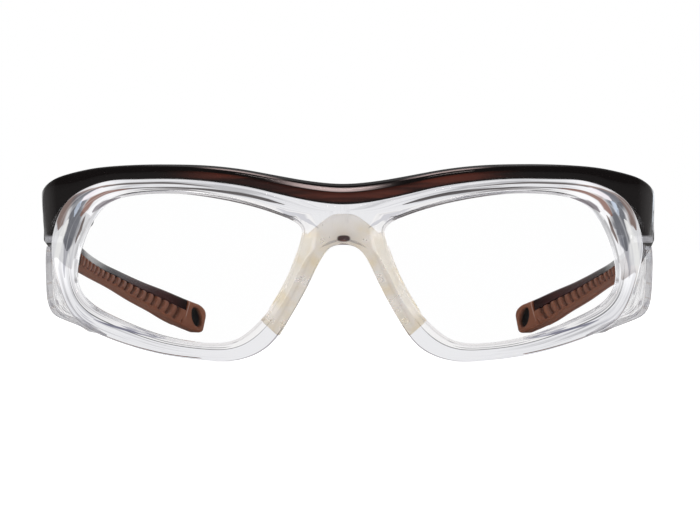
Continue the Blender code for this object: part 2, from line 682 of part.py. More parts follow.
def make_grips(parents):
    """The rubber grip: ribs on the inner face, and a closed tip with an oval window."""
    length = temple_length()
    tip = 1 - TIP_LENGTH / length
    step = GAP / length
    start = GRIP_START + 2 * step
    pitch = (tip - start) / (RIB_COUNT + 1)
    places, ribs = [start], [0.0]
    for k in range(RIB_COUNT):
        at = start + (k + 1 - RIB_OPEN / 2) * pitch
        for share, cut in ((0.0, 0.0), (0.25, RIB_DEPTH), (0.75, RIB_DEPTH), (1.0, 0.0)):
            places.append(at + share * RIB_OPEN * pitch)
            ribs.append(cut)
    places.append(tip + step)
    ribs.append(0.0)
    pad = temple_at(places)
    tip_rows = temple_rows(TONGUE_STATIONS, tip + 2 * step, 1.0 - TIP_ROUND / length)
    tip_rows = np.vstack([tip_rows, temple_at([1.0])])
    sections = [grip_section(row[3], row[4], rib, False) for row, rib in zip(pad, ribs)]
    sections += [grip_section(row[3], row[4], 0.0, True) for row in tip_rows]
    centre = np.array((tip_rows[-1][4], tip_rows[-1][3])) / 2
    sections[-1] = [tuple(centre + (np.array(point) - centre) * TIP_SHARE) for point in sections[-1]]
    bm = loft(stand(np.vstack([pad, tip_rows]), sections))
    cuts = [tongue_body(TIP_WALL, 3, 1), window(tip)]
    add_pair("temple_grip", combine(bm, cuts, "DIFFERENCE"), RUBBER, parents)


# --- hinges ---------------------------------------------------------------------------------

def leaf_screw_heights():
    return (HINGE_Z - LEAF_HEIGHT / 4, HINGE_Z + LEAF_HEIGHT / 4)


def leaf_screw_place(back):
    """Distance of a leaf's screws from the hinge axis; `back` is 1 for the temple's leaf."""
    return HINGE_AXIS_Y + back * (KNUCKLE_RADIUS + LEAF_LENGTH) / 2


def leaf_cuts(side, back):
    """A flat seat for the leaf in the plastic, and the blind holes for its screws."""
    face = HALF_WIDTH - END_THICK
    half = LEAF_HEIGHT / 2 + GAP
    y = sorted((HINGE_AXIS_Y, HINGE_AXIS_Y + back * (LEAF_LENGTH + GAP)))
    cuts = [box((HINGE_X - LEAF_LENGTH, y[0], HINGE_Z - half), (face, y[1], HINGE_Z + half))]
    radius = SCREW_RADIUS + GAP
    profile = ((radius, -LEAF_THICK), (radius, LEAF_SCREW_DEPTH + GAP))
    for z in leaf_screw_heights():
        cuts.append(turned(profile, SCREW_SIDES, (face, leaf_screw_place(back), z), "X"))
    if side < 0:
        for bm in cuts:
            bmesh.ops.scale(bm, vec=(-1, 1, 1), verts=bm.verts)
            bmesh.ops.reverse_faces(bm, faces=bm.faces)
    return cuts


def leaf(back, notches):
    """A leaf: a plate that curls into a knuckle round the screw, with notches between knuckles."""
    inner = HINGE_IN - GAP - LEAF_THICK
    start = -math.acos(inner / KNUCKLE_RADIUS)
    arc = np.linspace(0, 2 * math.pi + start, KNUCKLE_POINTS)
    outline = [(KNUCKLE_RADIUS * math.cos(a), KNUCKLE_RADIUS * math.sin(a)) for a in arc]
    outline += [(inner, -LEAF_LENGTH), (inner + LEAF_THICK, -LEAF_LENGTH)]
    rings = []
    for z in (-LEAF_HEIGHT / 2, LEAF_HEIGHT / 2):
        rings.append([(HINGE_X + x, HINGE_AXIS_Y - back * y, HINGE_Z + z) for x, y in outline])
    bm = loft(rings)
    hole = SCREW_RADIUS + GAP
    cutters = [turned(((hole, -LEAF_HEIGHT), (hole, LEAF_HEIGHT)), PIN_SIDES,
                      (HINGE_X, HINGE_AXIS_Y, HINGE_Z))]
    pitch = LEAF_HEIGHT / KNUCKLES
    reach = KNUCKLE_RADIUS + GAP
    for k in notches:
        low = HINGE_Z - LEAF_HEIGHT / 2 + k * pitch - GAP / 2
        high = low + pitch + GAP
        if k == 0:
            low -= LEAF_THICK
        if k == KNUCKLES - 1:
            high += LEAF_THICK
        y = sorted((HINGE_AXIS_Y - back * 2 * KNUCKLE_RADIUS, HINGE_AXIS_Y + back * reach))
        cutters.append(box((HINGE_X - 2 * KNUCKLE_RADIUS, y[0], low),
                           (HINGE_X + 2 * KNUCKLE_RADIUS, y[1], high)))
    for z in leaf_screw_heights():
        place = (HINGE_X, leaf_screw_place(back), z)
        profile = ((hole, -LEAF_THICK), (hole, HINGE_IN + LEAF_THICK))
        cutters.append(turned(profile, SCREW_SIDES, place, "X"))
    return combine(bm, cutters, "DIFFERENCE")


def make_hinges(parents):
    """Both leaves, the hinge screw and the screws that hold the leaves."""
    add_pair("front_leaf", leaf(-1, (1, 3)), STEEL)
    add_pair("temple_leaf", leaf(1, (0, 2, 4)), STEEL, parents)
    half = LEAF_HEIGHT / 2
    profile = ((SCREW_RADIUS, -half), (SCREW_RADIUS, half + GAP), (SCREW_HEAD, half + GAP),
               (SCREW_HEAD, half + GAP + SCREW_HEAD_HIGH))
    place = (HINGE_X, HINGE_AXIS_Y, HINGE_Z)
    add_pair("hinge_screw", turned(profile, PIN_SIDES, place), STEEL)
    face = -GAP - LEAF_THICK - GAP
    profile = ((SCREW_HEAD, face - SCREW_HEAD_HIGH), (SCREW_HEAD, face), (SCREW_RADIUS, face),
               (SCREW_RADIUS, LEAF_SCREW_DEPTH))
    for back, name, owner in ((-1, "front_leaf_screw", None), (1, "temple_leaf_screw", parents)):
        for k, z in enumerate(leaf_screw_heights()):
            place = (HALF_WIDTH - END_THICK, leaf_screw_place(back), z)
            screw = turned(profile, SCREW_SIDES, place, "X")
            add_pair("%s_%d" % (name, k + 1), screw, STEEL, owner)


def stand_on_floor():
    """Put the whole model over the origin: halfway front to back, with its lowest point at Z = 0."""
    bpy.context.view_layer.update()
    points = []
    for obj in bpy.data.objects:
        if obj.type == "MESH":
            points += [obj.matrix_world @ vert.co for vert in obj.data.vertices]
    y = [point.y for point in points]
    move = Vector((0, -(min(y) + max(y)) / 2, -min(point.z for point in points)))
    for obj in bpy.data.objects:
        if not obj.parent:
            obj.location += move


def main():
    for obj in list(bpy.data.objects):
        bpy.data.objects.remove(obj)
    parents = []
    for name, side in (("right_fold_axis", -1), ("left_fold_axis", 1)):
        empty = bpy.data.objects.new(name, None)
        empty.location = (side * HINGE_X, HINGE_AXIS_Y, HINGE_Z)
        bpy.context.scene.collection.objects.link(empty)
        parents.append(empty)
    make_front()
    make_lenses()
    make_brow()
    make_shields()
    make_saddle()
    make_arms(parents)
    make_grips(parents)
    make_hinges(parents)
    stand_on_floor()


main()
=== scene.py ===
import json
import math

import bmesh
import bpy
import numpy as np
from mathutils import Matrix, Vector


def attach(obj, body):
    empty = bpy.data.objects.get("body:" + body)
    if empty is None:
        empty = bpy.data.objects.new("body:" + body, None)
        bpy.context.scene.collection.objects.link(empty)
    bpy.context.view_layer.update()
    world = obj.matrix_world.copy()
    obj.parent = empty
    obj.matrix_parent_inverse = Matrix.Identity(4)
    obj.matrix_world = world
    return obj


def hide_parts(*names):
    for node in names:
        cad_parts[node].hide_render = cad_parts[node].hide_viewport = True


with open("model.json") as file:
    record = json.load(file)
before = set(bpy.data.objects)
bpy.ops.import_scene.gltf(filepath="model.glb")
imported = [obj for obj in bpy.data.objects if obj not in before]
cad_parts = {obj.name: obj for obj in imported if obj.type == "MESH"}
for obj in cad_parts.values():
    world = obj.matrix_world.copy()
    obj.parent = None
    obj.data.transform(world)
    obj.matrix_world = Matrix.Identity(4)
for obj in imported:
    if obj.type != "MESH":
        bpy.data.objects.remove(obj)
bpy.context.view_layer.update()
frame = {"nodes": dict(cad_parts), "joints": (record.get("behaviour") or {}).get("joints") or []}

print("frame:", len(frame["nodes"]), "nodes")

# All shapes below are worked out in mm, with the bridge's front face at y = 0 and the rims'
# lowest point at z = 0. The hinge's place in the frame says where that is.
hinge = {"back": 35.15, "high": 33.4}
pivot = next(joint["pos_m"] for joint in frame["joints"] if joint["name"] == "left_fold")
mm = 0.001
origin = np.array([0.0, pivot[1] - hinge["back"] * mm, pivot[2] - hinge["high"] * mm])


# Curves and grids

# Catmull-Rom curve through rows of numbers, read at places counted in rows
def curveAt(rows, places, closed=False):
    rows = np.array(rows, float)
    count = len(rows)
    if closed:
        padded = np.vstack([rows[-1:], rows, rows[:2]])
    else:
        padded = np.vstack([2 * rows[:1] - rows[1:2], rows, 2 * rows[-1:] - rows[-2:-1], rows[-1:]])
    places = np.mod(places, count) if closed else np.clip(places, 0, count - 1)
    first = np.minimum(places.astype(int), count - 1 if closed else count - 2)
    t = (places - first)[:, None]
    a, b, c, d = (padded[first + k] for k in range(4))
    return 0.5 * (2 * b + (c - a) * t + (2 * a - 5 * b + 4 * c - d) * t ** 2
                  + (3 * b - a - 3 * c + d) * t ** 3)


# Gaussian average along the first axis; an open run is mirrored through its end points first
def soften(values, width, closed=False):
    values = np.array(values, float)
    reach = int(4 * width)
    kernel = np.exp(-0.5 * (np.arange(-reach, reach + 1) / width) ** 2)
    kernel /= kernel.sum()
    if closed:
        padded = np.vstack([values[-reach:], values, values[:reach]])
    else:
        head = 2 * values[0] - values[reach:0:-1]
        tail = 2 * values[-1] - values[-2:-reach - 2:-1]
        padded = np.vstack([head, values, tail])
    return np.column_stack([np.convolve(column, kernel, "valid") for column in padded.T])


# Unit vectors across a closed flat curve, to its right-hand side
def across(curve):
    along = np.roll(curve, -1, axis=0) - np.roll(curve, 1, axis=0)
    side = np.column_stack([along[:, 1], -along[:, 0]])
    return side / np.linalg.norm(side, axis=1)[:, None]


# Length along a curve up to each of its points
def lengthAlong(curve):
    return np.concatenate([[0], np.cumsum(np.linalg.norm(np.diff(curve, axis=0), axis=1))])


# Rows of numbers that are known at some places, read at others on straight lines between them
def readAt(rows, known, places):
    return np.column_stack([np.interp(places, known, column) for column in rows.T])


# A flat chain of corners, each inner one rounded by its own radius: a curve of the second degree
# that is pulled to the corner, between the two spots where an arc of that radius would end
def roundedChain(corners, steps=5):
    points = [np.array(corners[0][:2], float)]
    for before, here, after in zip(corners, corners[1:], corners[2:]):
        spot, radius = np.array(here[:2], float), here[2]
        back = np.array(before[:2], float) - spot
        ahead = np.array(after[:2], float) - spot
        lengths = np.linalg.norm(back), np.linalg.norm(ahead)
        back, ahead = back / lengths[0], ahead / lengths[1]
        bend = math.acos(np.clip(back @ ahead, -1, 1)) / 2
        if radius <= 0 or bend > 1.55:
            points.append(spot)
            continue
        trim = min(radius / math.tan(bend), 0.49 * min(lengths))
        for t in np.linspace(0, 1, steps):
            start, end = spot + back * trim, spot + ahead * trim
            points.append((1 - t) ** 2 * start + 2 * t * (1 - t) * spot + t ** 2 * end)
    points.append(np.array(corners[-1][:2], float))
    return np.array(points)


# A closed flat ring read again at evenly spaced points
def evenRing(ring, count):
    looped = np.vstack([ring, ring[:1]])
    length = lengthAlong(looped)
    return readAt(looped, length, np.linspace(0, length[-1], count, endpoint=False))


# Four-sided faces of a grid of points stored row by row; keep is a mask over the cells
def gridFaces(rows, columns, closeRows=False, closeColumns=False, keep=None):
    r = np.arange(rows if closeRows else rows - 1)[:, None]
    c = np.arange(columns if closeColumns else columns - 1)[None, :]
    down, right = (r + 1) % rows, (c + 1) % columns
    cells = np.stack([r * columns + c, r * columns + right, down * columns + right,
                      down * columns + c], axis=-1)
    return cells[keep] if keep is not None else cells.reshape(-1, 4)


# A tube of closed rings with its two ends filled from their middles
def tube(rings):
    rows, columns, _ = rings.shape
    points = np.vstack([rings.reshape(-1, 3), rings[0].mean(axis=0), rings[-1].mean(axis=0)])
    here = np.arange(columns)
    after, last = (here + 1) % columns, (rows - 1) * columns
    middle = rows * columns + 0 * here
    ends = np.stack([np.column_stack([middle, after, here]),
                     np.column_stack([middle + 1, last + here, last + after])], axis=1)
    return points, [gridFaces(rows, columns, closeColumns=True), ends.reshape(-1, 3)]


# A mark's value at each point of a tube's rings, and then at the middles of its two ends
def tubeMark(values, ends=(0, 0)):
    return np.concatenate([np.array(values, float).ravel(), ends])


# A solid is its points and a list of arrays of faces
def mirrored(points, faces):
    return points * (-1, 1, 1), [block[:, ::-1] for block in faces]


def joined(*solids):
    starts = np.cumsum([0] + [len(points) for points, _ in solids])
    faces = [block + start for start, (_, blocks) in zip(starts, solids) for block in blocks]
    return np.vstack([points for points, _ in solids]), faces


seam = 0.002                                    # mm between points that become one
sharpFrom = 40                                  # degrees between faces that make an edge sharp
drawnOut = 0.03                                 # how far streaks run on for each mm along a piece


# Makes a piece from points in mm, closes its seams, turns its faces out and puts it on its body
def addPiece(name, solid, material, body, node, marks=None):
    points, faces = solid
    mesh = bpy.data.meshes.new(name)
    polygons = [polygon for block in faces for polygon in block.tolist()]
    mesh.from_pydata((points * mm + origin).tolist(), [], polygons)
    for mark, values in (marks or {}).items():
        layer = mesh.attributes.new(mark, "FLOAT", "POINT")
        layer.data.foreach_set("value", np.array(values, np.float32))
    bm = bmesh.new()
    bm.from_mesh(mesh)
    bmesh.ops.remove_doubles(bm, verts=bm.verts, dist=seam * mm)
    bmesh.ops.delete(bm, geom=[vert for vert in bm.verts if not vert.link_faces], context="VERTS")
    bmesh.ops.recalc_face_normals(bm, faces=bm.faces)
    bm.to_mesh(mesh)
    bm.free()
    mesh.shade_smooth()
    mesh.set_sharp_from_angle(angle=math.radians(sharpFrom))
    mesh.materials.append(material)
    piece = bpy.data.objects.new(name, mesh)
    bpy.context.scene.collection.objects.link(piece)
    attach(piece, body)
    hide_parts(node)


def addPair(name, solid, material, bodies, node, marks=None):
    addPiece("left" + name, solid, material, bodies[0], "left_" + node, marks)
    addPiece("right" + name, mirrored(*solid), material, bodies[1], "right_" + node, marks)


# Shader maths

# Wraps a socket, so that sums and products of values are written as expressions
class Wire:
    def __init__(self, sheet, socket):
        self.sheet = sheet
        self.socket = socket

    def math(self, operation, *others):
        return self.sheet.node("ShaderNodeMath", {"operation": operation},
                               dict(enumerate((self,) + others)))

    def __add__(self, other):
        return self.math("ADD", other)

    def __sub__(self, other):
        return self.math("SUBTRACT", other)

    def __mul__(self, other):
        return self.math("MULTIPLY", other)

    def __truediv__(self, other):
        return self.math("DIVIDE", other)

    def __rsub__(self, other):
        return self.sheet.node("ShaderNodeMath", {"operation": "SUBTRACT"}, {0: other, 1: self})

    __radd__ = __add__
    __rmul__ = __mul__


# One material or world: makes nodes from a type, settings and inputs
class Sheet:
    def __init__(self, owner):
        owner.use_nodes = True
        self.tree = owner.node_tree

    def node(self, kind, settings=None, inputs=None, output=0):
        made = self.tree.nodes.new(kind)
        for key, value in (settings or {}).items():
            if key == "stops":
                self.setStops(made.color_ramp, value)
            else:
                setattr(made, key, value)
        self.feed(made, inputs or {})
        return Wire(self, made.outputs[output])

    def feed(self, node, inputs):
        for key, value in inputs.items():
            if isinstance(value, Wire):
                self.tree.links.new(value.socket, node.inputs[key])
            else:
                node.inputs[key].default_value = value

    def rays(self, *kinds):
        return [self.node("ShaderNodeLightPath", output="Is %s Ray" % kind) for kind in kinds]

    def setStops(self, ramp, stops):
        while len(ramp.elements) > 1:
            ramp.elements.remove(ramp.elements[-1])
        for k, (place, colour) in enumerate(stops):
            stop = ramp.elements[0] if k == 0 else ramp.elements.new(place)
            stop.position = place
            stop.color = (*colour, 1.0)

    def mark(self, name):
        return self.node("ShaderNodeAttribute", {"attribute_name": name}, output=2)  # as a number

    def noise(self, scale, detail=3.0, rough=0.5, stretch=(1, 1, 1)):
        place = self.node("ShaderNodeTexCoord", output="Object")
        spot = self.node("ShaderNodeMapping", inputs={"Vector": place, "Scale": stretch})
        return self.node("ShaderNodeTexNoise", inputs={
            "Vector": spot, "Scale": scale, "Detail": detail, "Roughness": rough})

    # Noise drawn out along a piece: wide along it, and close together across it
    def streaks(self, along, across, scale, detail):
        spot = self.node("ShaderNodeCombineXYZ", inputs={0: along * drawnOut, 1: across})
        return self.node("ShaderNodeTexNoise", inputs={
            "Vector": spot, "Scale": scale, "Detail": detail})

    def ramp(self, value, stops):
        return self.node("ShaderNodeValToRGB", {"stops": stops}, {0: value})

    def mix(self, share, first, second, kind="MIX"):
        first, second = ((*end, 1) if isinstance(end, tuple) else end for end in (first, second))
        return self.node("ShaderNodeMix", {"data_type": "RGBA", "blend_type": kind}, {
            0: share, 6: first, 7: second}, 2)

    # Rises smoothly from 0 at low to 1 at high
    def steps(self, value, low, high):
        return self.node("ShaderNodeMapRange", {"interpolation_type": "SMOOTHSTEP"}, {
            0: value, 1: low, 2: high, 3: 0.0, 4: 1.0})

    # 1 between two edges, each given by where it starts and where it ends
    def between(self, value, rise, fall):
        return self.steps(value, *rise) * (1 - self.steps(value, *fall))

    def bump(self, height, strength, depth):
        return self.node("ShaderNodeBump", inputs={
            "Strength": strength, "Distance": depth, "Height": height})


def newMaterial(name, uniform, build):
    material = bpy.data.materials.new(name)
    sheet = Sheet(material)
    sheet.feed(sheet.tree.nodes["Principled BSDF"], {**uniform, **build(sheet)})
    return material


# Materials

# Clear plastic: tints, painted dark lines, painted glow colours and share, band cover, roughness, IOR
clearLook = {"inner": (0.90, 0.89, 0.89), "outer": (0.83, 0.83, 0.85), "edge": (0.60, 0.60, 0.64),
             "shadeBlot": (0.40, 0.40, 0.46), "line": (0.05, 0.045, 0.05),
             "saddleGlow": (0.58, 0.55, 0.50), "amber": (0.56, 0.49, 0.37), "glowPale": (0.80, 0.80, 0.82),
             "glowShare": 0.86, "cover": 0.92, "rough": 0.01, "ior": 1.24}
# The painted glow's greys in the corner before the hinge, from one side of the noise to the other
cornerStops = ((0.0, (0.66, 0.67, 0.70)), (0.40, (0.78, 0.78, 0.79)), (0.47, (0.60, 0.60, 0.64)),
               (0.50, (0.84, 0.84, 0.84)), (0.58, (0.72, 0.72, 0.75)), (0.66, (0.82, 0.82, 0.82)))
# Painted shadows and lights drawn out along the front: colour, rows of the eye, place across the
# rim and half width, where 0 is the opening and 1 the outer edge
bands = {
    "high": ((0.09, 0.075, 0.07), (12.9, 13.3, 13.9, 14.6, 15.1, 15.5),
             (0.76, 0.74, 0.71, 0.68, 0.65, 0.65), (0.004, 0.04, 0.06, 0.055, 0.03, 0.002)),
    "low": ((0.06, 0.05, 0.05), (12.9, 13.4, 13.8, 14.3, 15.0, 15.9, 16.5, 16.9),
            (0.50, 0.46, 0.42, 0.40, 0.39, 0.50, 0.54, 0.55),
            (0.005, 0.03, 0.03, 0.03, 0.055, 0.10, 0.07, 0.005)),
    "slant": ((0.62, 0.62, 0.66), (16.7, 16.9, 17.2, 17.7, 18.1, 18.4),
              (0.28, 0.25, 0.17, 0.16, 0.27, 0.40), (0.01, 0.06, 0.08, 0.07, 0.05, 0.01)),
    "lash": ((0.13, 0.11, 0.11), (15.0, 15.5, 16.1, 16.8, 17.4), (0.05, 0.05, 0.05, 0.04, 0.04),
             (0.005, 0.03, 0.045, 0.03, 0.005)),
    "lashLine": ((0.10, 0.09, 0.085), (15.3, 15.9, 16.5, 17.0, 17.5),
                 (0.24, 0.19, 0.15, 0.11, 0.09), (0.003, 0.014, 0.022, 0.02, 0.003)),
    "footLine": ((0.12, 0.10, 0.12), (3.1, 3.5, 4.2, 4.9, 5.4), (0.97, 0.97, 0.97, 0.97, 0.97),
                 (0.003, 0.02, 0.022, 0.015, 0.003)),
    "outerBrown": ((0.21, 0.14, 0.12), (11.3, 11.5, 11.9, 12.3, 12.9, 13.4),
                   (0.86, 0.85, 0.90, 0.90, 0.82, 0.75), (0.01, 0.10, 0.10, 0.08, 0.04, 0.01)),
    "grey": ((0.40, 0.40, 0.44), (10.1, 10.35, 10.7, 11.1, 11.3), (0.61, 0.56, 0.48, 0.44, 0.44),
             (0.01, 0.04, 0.07, 0.12, 0.14)),
    "blue": ((0.13, 0.135, 0.155), (10.85, 11.12, 11.4, 11.7, 11.9, 12.15, 12.35, 12.7, 12.95),
             (0.45, 0.45, 0.45, 0.48, 0.56, 0.66, 0.73, 0.76, 0.76),
             (0.01, 0.17, 0.21, 0.22, 0.23, 0.23, 0.20, 0.10, 0.01)),
    "bevel": ((0.52, 0.52, 0.53), (9.6, 10.3, 11.8, 12.8), (0.08, 0.08, 0.08, 0.08),
              (0.01, 0.09, 0.09, 0.01)),
    "rimLine": ((0.04, 0.04, 0.045), (3.3, 4.2, 6.0, 8.1, 9.2, 10.0, 10.6),
                (0.36, 0.36, 0.36, 0.36, 0.37, 0.36, 0.34),
                (0.002, 0.010, 0.014, 0.020, 0.022, 0.014, 0.002)),
    "shadeBlot": ((0.16, 0.16, 0.22), (6.9, 7.2, 7.7, 8.2, 8.6), (0.14, 0.20, 0.31, 0.44, 0.50),
               (0.005, 0.035, 0.055, 0.05, 0.005)),
    "glow": ((0.48, 0.54, 0.64), (11.8, 11.95, 12.2, 12.35), (0.55, 0.58, 0.65, 0.68),
             (0.005, 0.05, 0.06, 0.01)),
    "spear": ((0.90, 0.90, 0.89), (9.9, 10.23, 10.52, 11.04, 11.39, 11.63, 11.70),
              (0.98, 0.94, 0.84, 0.72, 0.67, 0.655, 0.65),
              (0.03, 0.06, 0.10, 0.10, 0.08, 0.04, 0.003)),
    "innerBrown": ((0.22, 0.12, 0.095), (11.9, 12.23, 12.56, 12.99, 13.44, 13.8),
                   (0.38, 0.40, 0.50, 0.48, 0.42, 0.40), (0.02, 0.09, 0.10, 0.08, 0.05, 0.005)),
    "patch": ((0.78, 0.74, 0.78), (12.3, 12.45, 12.67, 12.84, 13.05),
              (0.68, 0.68, 0.69, 0.72, 0.74), (0.01, 0.08, 0.09, 0.07, 0.01)),
    "edge": ((0.17, 0.15, 0.165), (12.2, 12.45, 12.78, 13.08, 13.4),
             (0.16, 0.15, 0.12, 0.06, 0.03), (0.01, 0.07, 0.09, 0.06, 0.01)),
    "thin": ((0.11, 0.075, 0.065), (11.15, 11.28, 11.58, 11.91, 12.05),
             (0.22, 0.22, 0.20, 0.25, 0.27), (0.003, 0.025, 0.04, 0.03, 0.003)),
}


# Marks on the clear front: along is the place round the rim in mm, out runs from 0 at the
# opening to 1 at the outer edge, each band's mark is how far off it a point is in half widths,
# corner is 1 in front of the hinge and another mark is 1 on the edge over the saddle, where a
# painted glow replaces the base colour in both, and streaky says how strong the drawn-out painted
# dark lines are
def buildClear(sheet):
    along, out, streaky = sheet.mark("along"), sheet.mark("out"), sheet.mark("streaky")
    flow = sheet.streaks(along, out * 6.0, 1.0, 1.0)
    patch = sheet.streaks(along, out * 6.0, 4.0, 1.0)
    stripes = sheet.streaks(along, out * 6.0, 1.7, 2.0)
    # Painted dark lines and blots drawn out along the rim, in place of dark things the plastic bends
    # in
    faint = sheet.steps(flow, 0.35, 0.65) * streaky * 0.4
    spots = sheet.steps(patch, 0.58, 0.64) * streaky * 0.6
    lines = sheet.steps(flow, 0.55, 0.62) * streaky * 0.45
    colour = sheet.mix(sheet.steps(out, 0.32, 0.38), clearLook["inner"], clearLook["outer"])
    colour = sheet.mix(faint, colour, clearLook["edge"])
    colour = sheet.mix(spots, colour, clearLook["shadeBlot"])
    colour = sheet.mix(lines, colour, clearLook["line"])
    # shine is the colour of the painted glow, starting from the corner's greys
    shine = sheet.ramp(stripes, cornerStops)
    waver = sheet.noise(70.0, 1.0) * 0.06 - 0.03
    # Each band's painted shadow or light goes into the base colour and into the painted glow
    for name, (tone, *_) in bands.items():
        away = (sheet.mark(name) + waver * 5 + (stripes - 0.5) * 1.2).math("ABSOLUTE")
        cover = (1 - sheet.steps(away, 0.65, 1.25)) * clearLook["cover"]
        colour = sheet.mix(cover, colour, tone)
        shine = sheet.mix(cover, shine, tone)
    shine = sheet.mix(sheet.steps(stripes, 0.50, 0.64) * 0.28, shine, clearLook["glowPale"])
    # On the edge over the saddle the painted glow takes the saddle's cream and amber
    saddleGlow = sheet.mark("saddleGlow")
    mottle = sheet.steps(sheet.noise(180.0, 4.0), 0.42, 0.68)
    shine = sheet.mix(saddleGlow, shine, sheet.mix(mottle, clearLook["saddleGlow"], clearLook["amber"]))
    # How much painted glow replaces the base colour: in the corner and on the edge over the saddle
    glowShare = sheet.mark("corner").math("MAXIMUM", saddleGlow) * clearLook["glowShare"]
    ripple = sheet.noise(160.0, 1.0)
    return {"Base Color": sheet.mix(glowShare, colour, (0, 0, 0)),
            "Roughness": ripple * 0.02 + clearLook["rough"],
            "Emission Color": sheet.mix(glowShare, (0, 0, 0), shine),
            "Normal": sheet.bump(ripple, 0.15, 0.00004)}


shieldLook = {"pale": (0.60, 0.60, 0.64), "grey": (0.36, 0.35, 0.41), "brown": (0.34, 0.24, 0.20),
              "thin": 0.26, "streak": 0.22, "corner": 0.35, "edge": 0.35, "most": 0.7}  # opacities


# Marks on the side shields: along runs down the front edge and out from 0 there to 1 at the rear
def buildSheet(sheet):
    along, out = sheet.mark("along"), sheet.mark("out")
    lines = sheet.steps(sheet.streaks(along, out * 4.0, 2.4, 2.0), 0.52, 0.60)
    fine = sheet.streaks(along, out * 4.0, 6.0, 1.0)
    colour = sheet.mix(lines, shieldLook["pale"], shieldLook["grey"])
    colour = sheet.mix(sheet.steps(fine, 0.56, 0.60), colour, shieldLook["brown"])
    corner = sheet.between(along, (26, 32), (38, 46)) * sheet.steps(out, 0.5, 0.9)
    thick = lines * (corner * shieldLook["corner"] + shieldLook["streak"])
    thick = thick + sheet.steps(out, 0.94, 0.99) * shieldLook["edge"] + shieldLook["thin"]
    return {"Base Color": colour, "Alpha": thick.math("MINIMUM", shieldLook["most"]),
            "Roughness": fine * 0.1 + 0.05}


def buildLens(sheet):
    cloud = sheet.noise(90.0, 1.0)
    return {"Base Color": sheet.mix(cloud, (0.995, 0.997, 1.0), (1.0, 1.0, 0.998)),
            "Roughness": cloud * 0.004}


# Bar colours: dark, warm, painted highlight, lower ends' pale grey and painted glow, painted
# reflection at the ends
barLook = {"dark": (0.010, 0.008, 0.008), "warm": (0.125, 0.034, 0.023),
           "shine": (0.95, 0.76, 0.74), "clear": (0.40, 0.40, 0.42), "glow": (0.13, 0.13, 0.14),
           "side": (0.085, 0.08, 0.08), "coat": 0.5, "rough": 0.05, "topRough": 0.35}


# Marks on the bar: low runs from 0 at its upper edge to 1 at its lower edge, middle is 1 over the
# nose, centre and flank are 1 where its painted highlight lines run, side is 1 at its outer ends,
# which a painted reflection lightens, and tail is 1 at the end pieces' lower ends, which are
# painted pale grey and given a painted glow
def buildBar(sheet):
    low = sheet.mark("low")
    drawn = sheet.noise(70.0, 3.0, 0.6, (0.35, 1, 5))
    core = sheet.between(low, (0.38, 0.50), (0.80, 0.98)) * sheet.mark("middle")
    body = sheet.mix(core * (sheet.steps(drawn, 0.35, 0.65) + 0.15), barLook["dark"],
                     barLook["warm"])
    # A painted reflection lightens the outer ends
    body = sheet.mix(sheet.mark("side"), body, barLook["side"])
    # Painted highlight lines: a broad one over the middle and narrow ones on the flanks
    broadHighlight = sheet.between(low, (0.19, 0.23), (0.36, 0.42)) * sheet.mark("centre")
    narrowHighlight = sheet.between(low, (0.12, 0.15), (0.19, 0.22)) * sheet.mark("flank")
    line = (broadHighlight + narrowHighlight * 0.7) * (drawn * 0.5 + 0.6)
    colour = sheet.mix(line, body, barLook["shine"])
    top = 1 - sheet.steps(low, 0.04, 0.14)
    # The end pieces' lower ends are painted pale grey, with a painted glow
    return {"Base Color": sheet.mix(sheet.mark("tail"), colour, barLook["clear"]),
            "Emission Color": sheet.mix(sheet.mark("tail"), (0, 0, 0), barLook["glow"]),
            "Coat Weight": (1 - top) * barLook["coat"],
            "Roughness": sheet.noise(400.0) * 0.05 + top * barLook["topRough"] + barLook["rough"],
            "Normal": sheet.bump(sheet.noise(120.0, 1.0), 0.04, 0.00003)}


# The arm's colours: pale for its painted reflection, then grey, dark brown and black along it
armLook = {"pale": (0.60, 0.60, 0.60), "grey": (0.045, 0.038, 0.037),
           "dark": (0.046, 0.009, 0.008), "black": (0.008, 0.006, 0.006)}
# The grip's colours: brown, pale, painted shade in the grooves, a painted highlight line at the tip,
# and the window's dark inside
gripLook = {"brown": (0.215, 0.070, 0.033), "pale": (0.305, 0.110, 0.057),
            "deep": (0.055, 0.019, 0.011), "lip": (0.60, 0.40, 0.34),
            "window": (0.004, 0.005, 0.005)}


# Marks on the arm: along runs from 0 at the hinge to 1 at the tip's start, inside is 1 on the
# face towards the head, where a pale painted reflection lightens it part of the way along, and
# under is 1 where the grip's rubber wraps round its lower edge
def buildArm(sheet):
    cloud = sheet.noise(70.0, 4.0)
    along = sheet.mark("along") + cloud * 0.08
    # A pale painted reflection on the inner face, part of the way along
    paintedSheen = sheet.between(along, (0.36, 0.48), (0.46, 0.64)) * sheet.mark("inside")
    colour = sheet.mix(paintedSheen, armLook["grey"], armLook["pale"])
    colour = sheet.mix(sheet.steps(along, 0.58, 0.78), colour, armLook["dark"])
    colour = sheet.mix(sheet.steps(along, 0.88, 1.0), colour, armLook["black"])
    colour = sheet.mix(sheet.mark("under"), colour, gripLook["brown"])
    return {"Base Color": colour, "Roughness": cloud * 0.12 + 0.28,
            "Normal": sheet.bump(sheet.noise(900.0, 4.0), 0.2, 0.00002)}


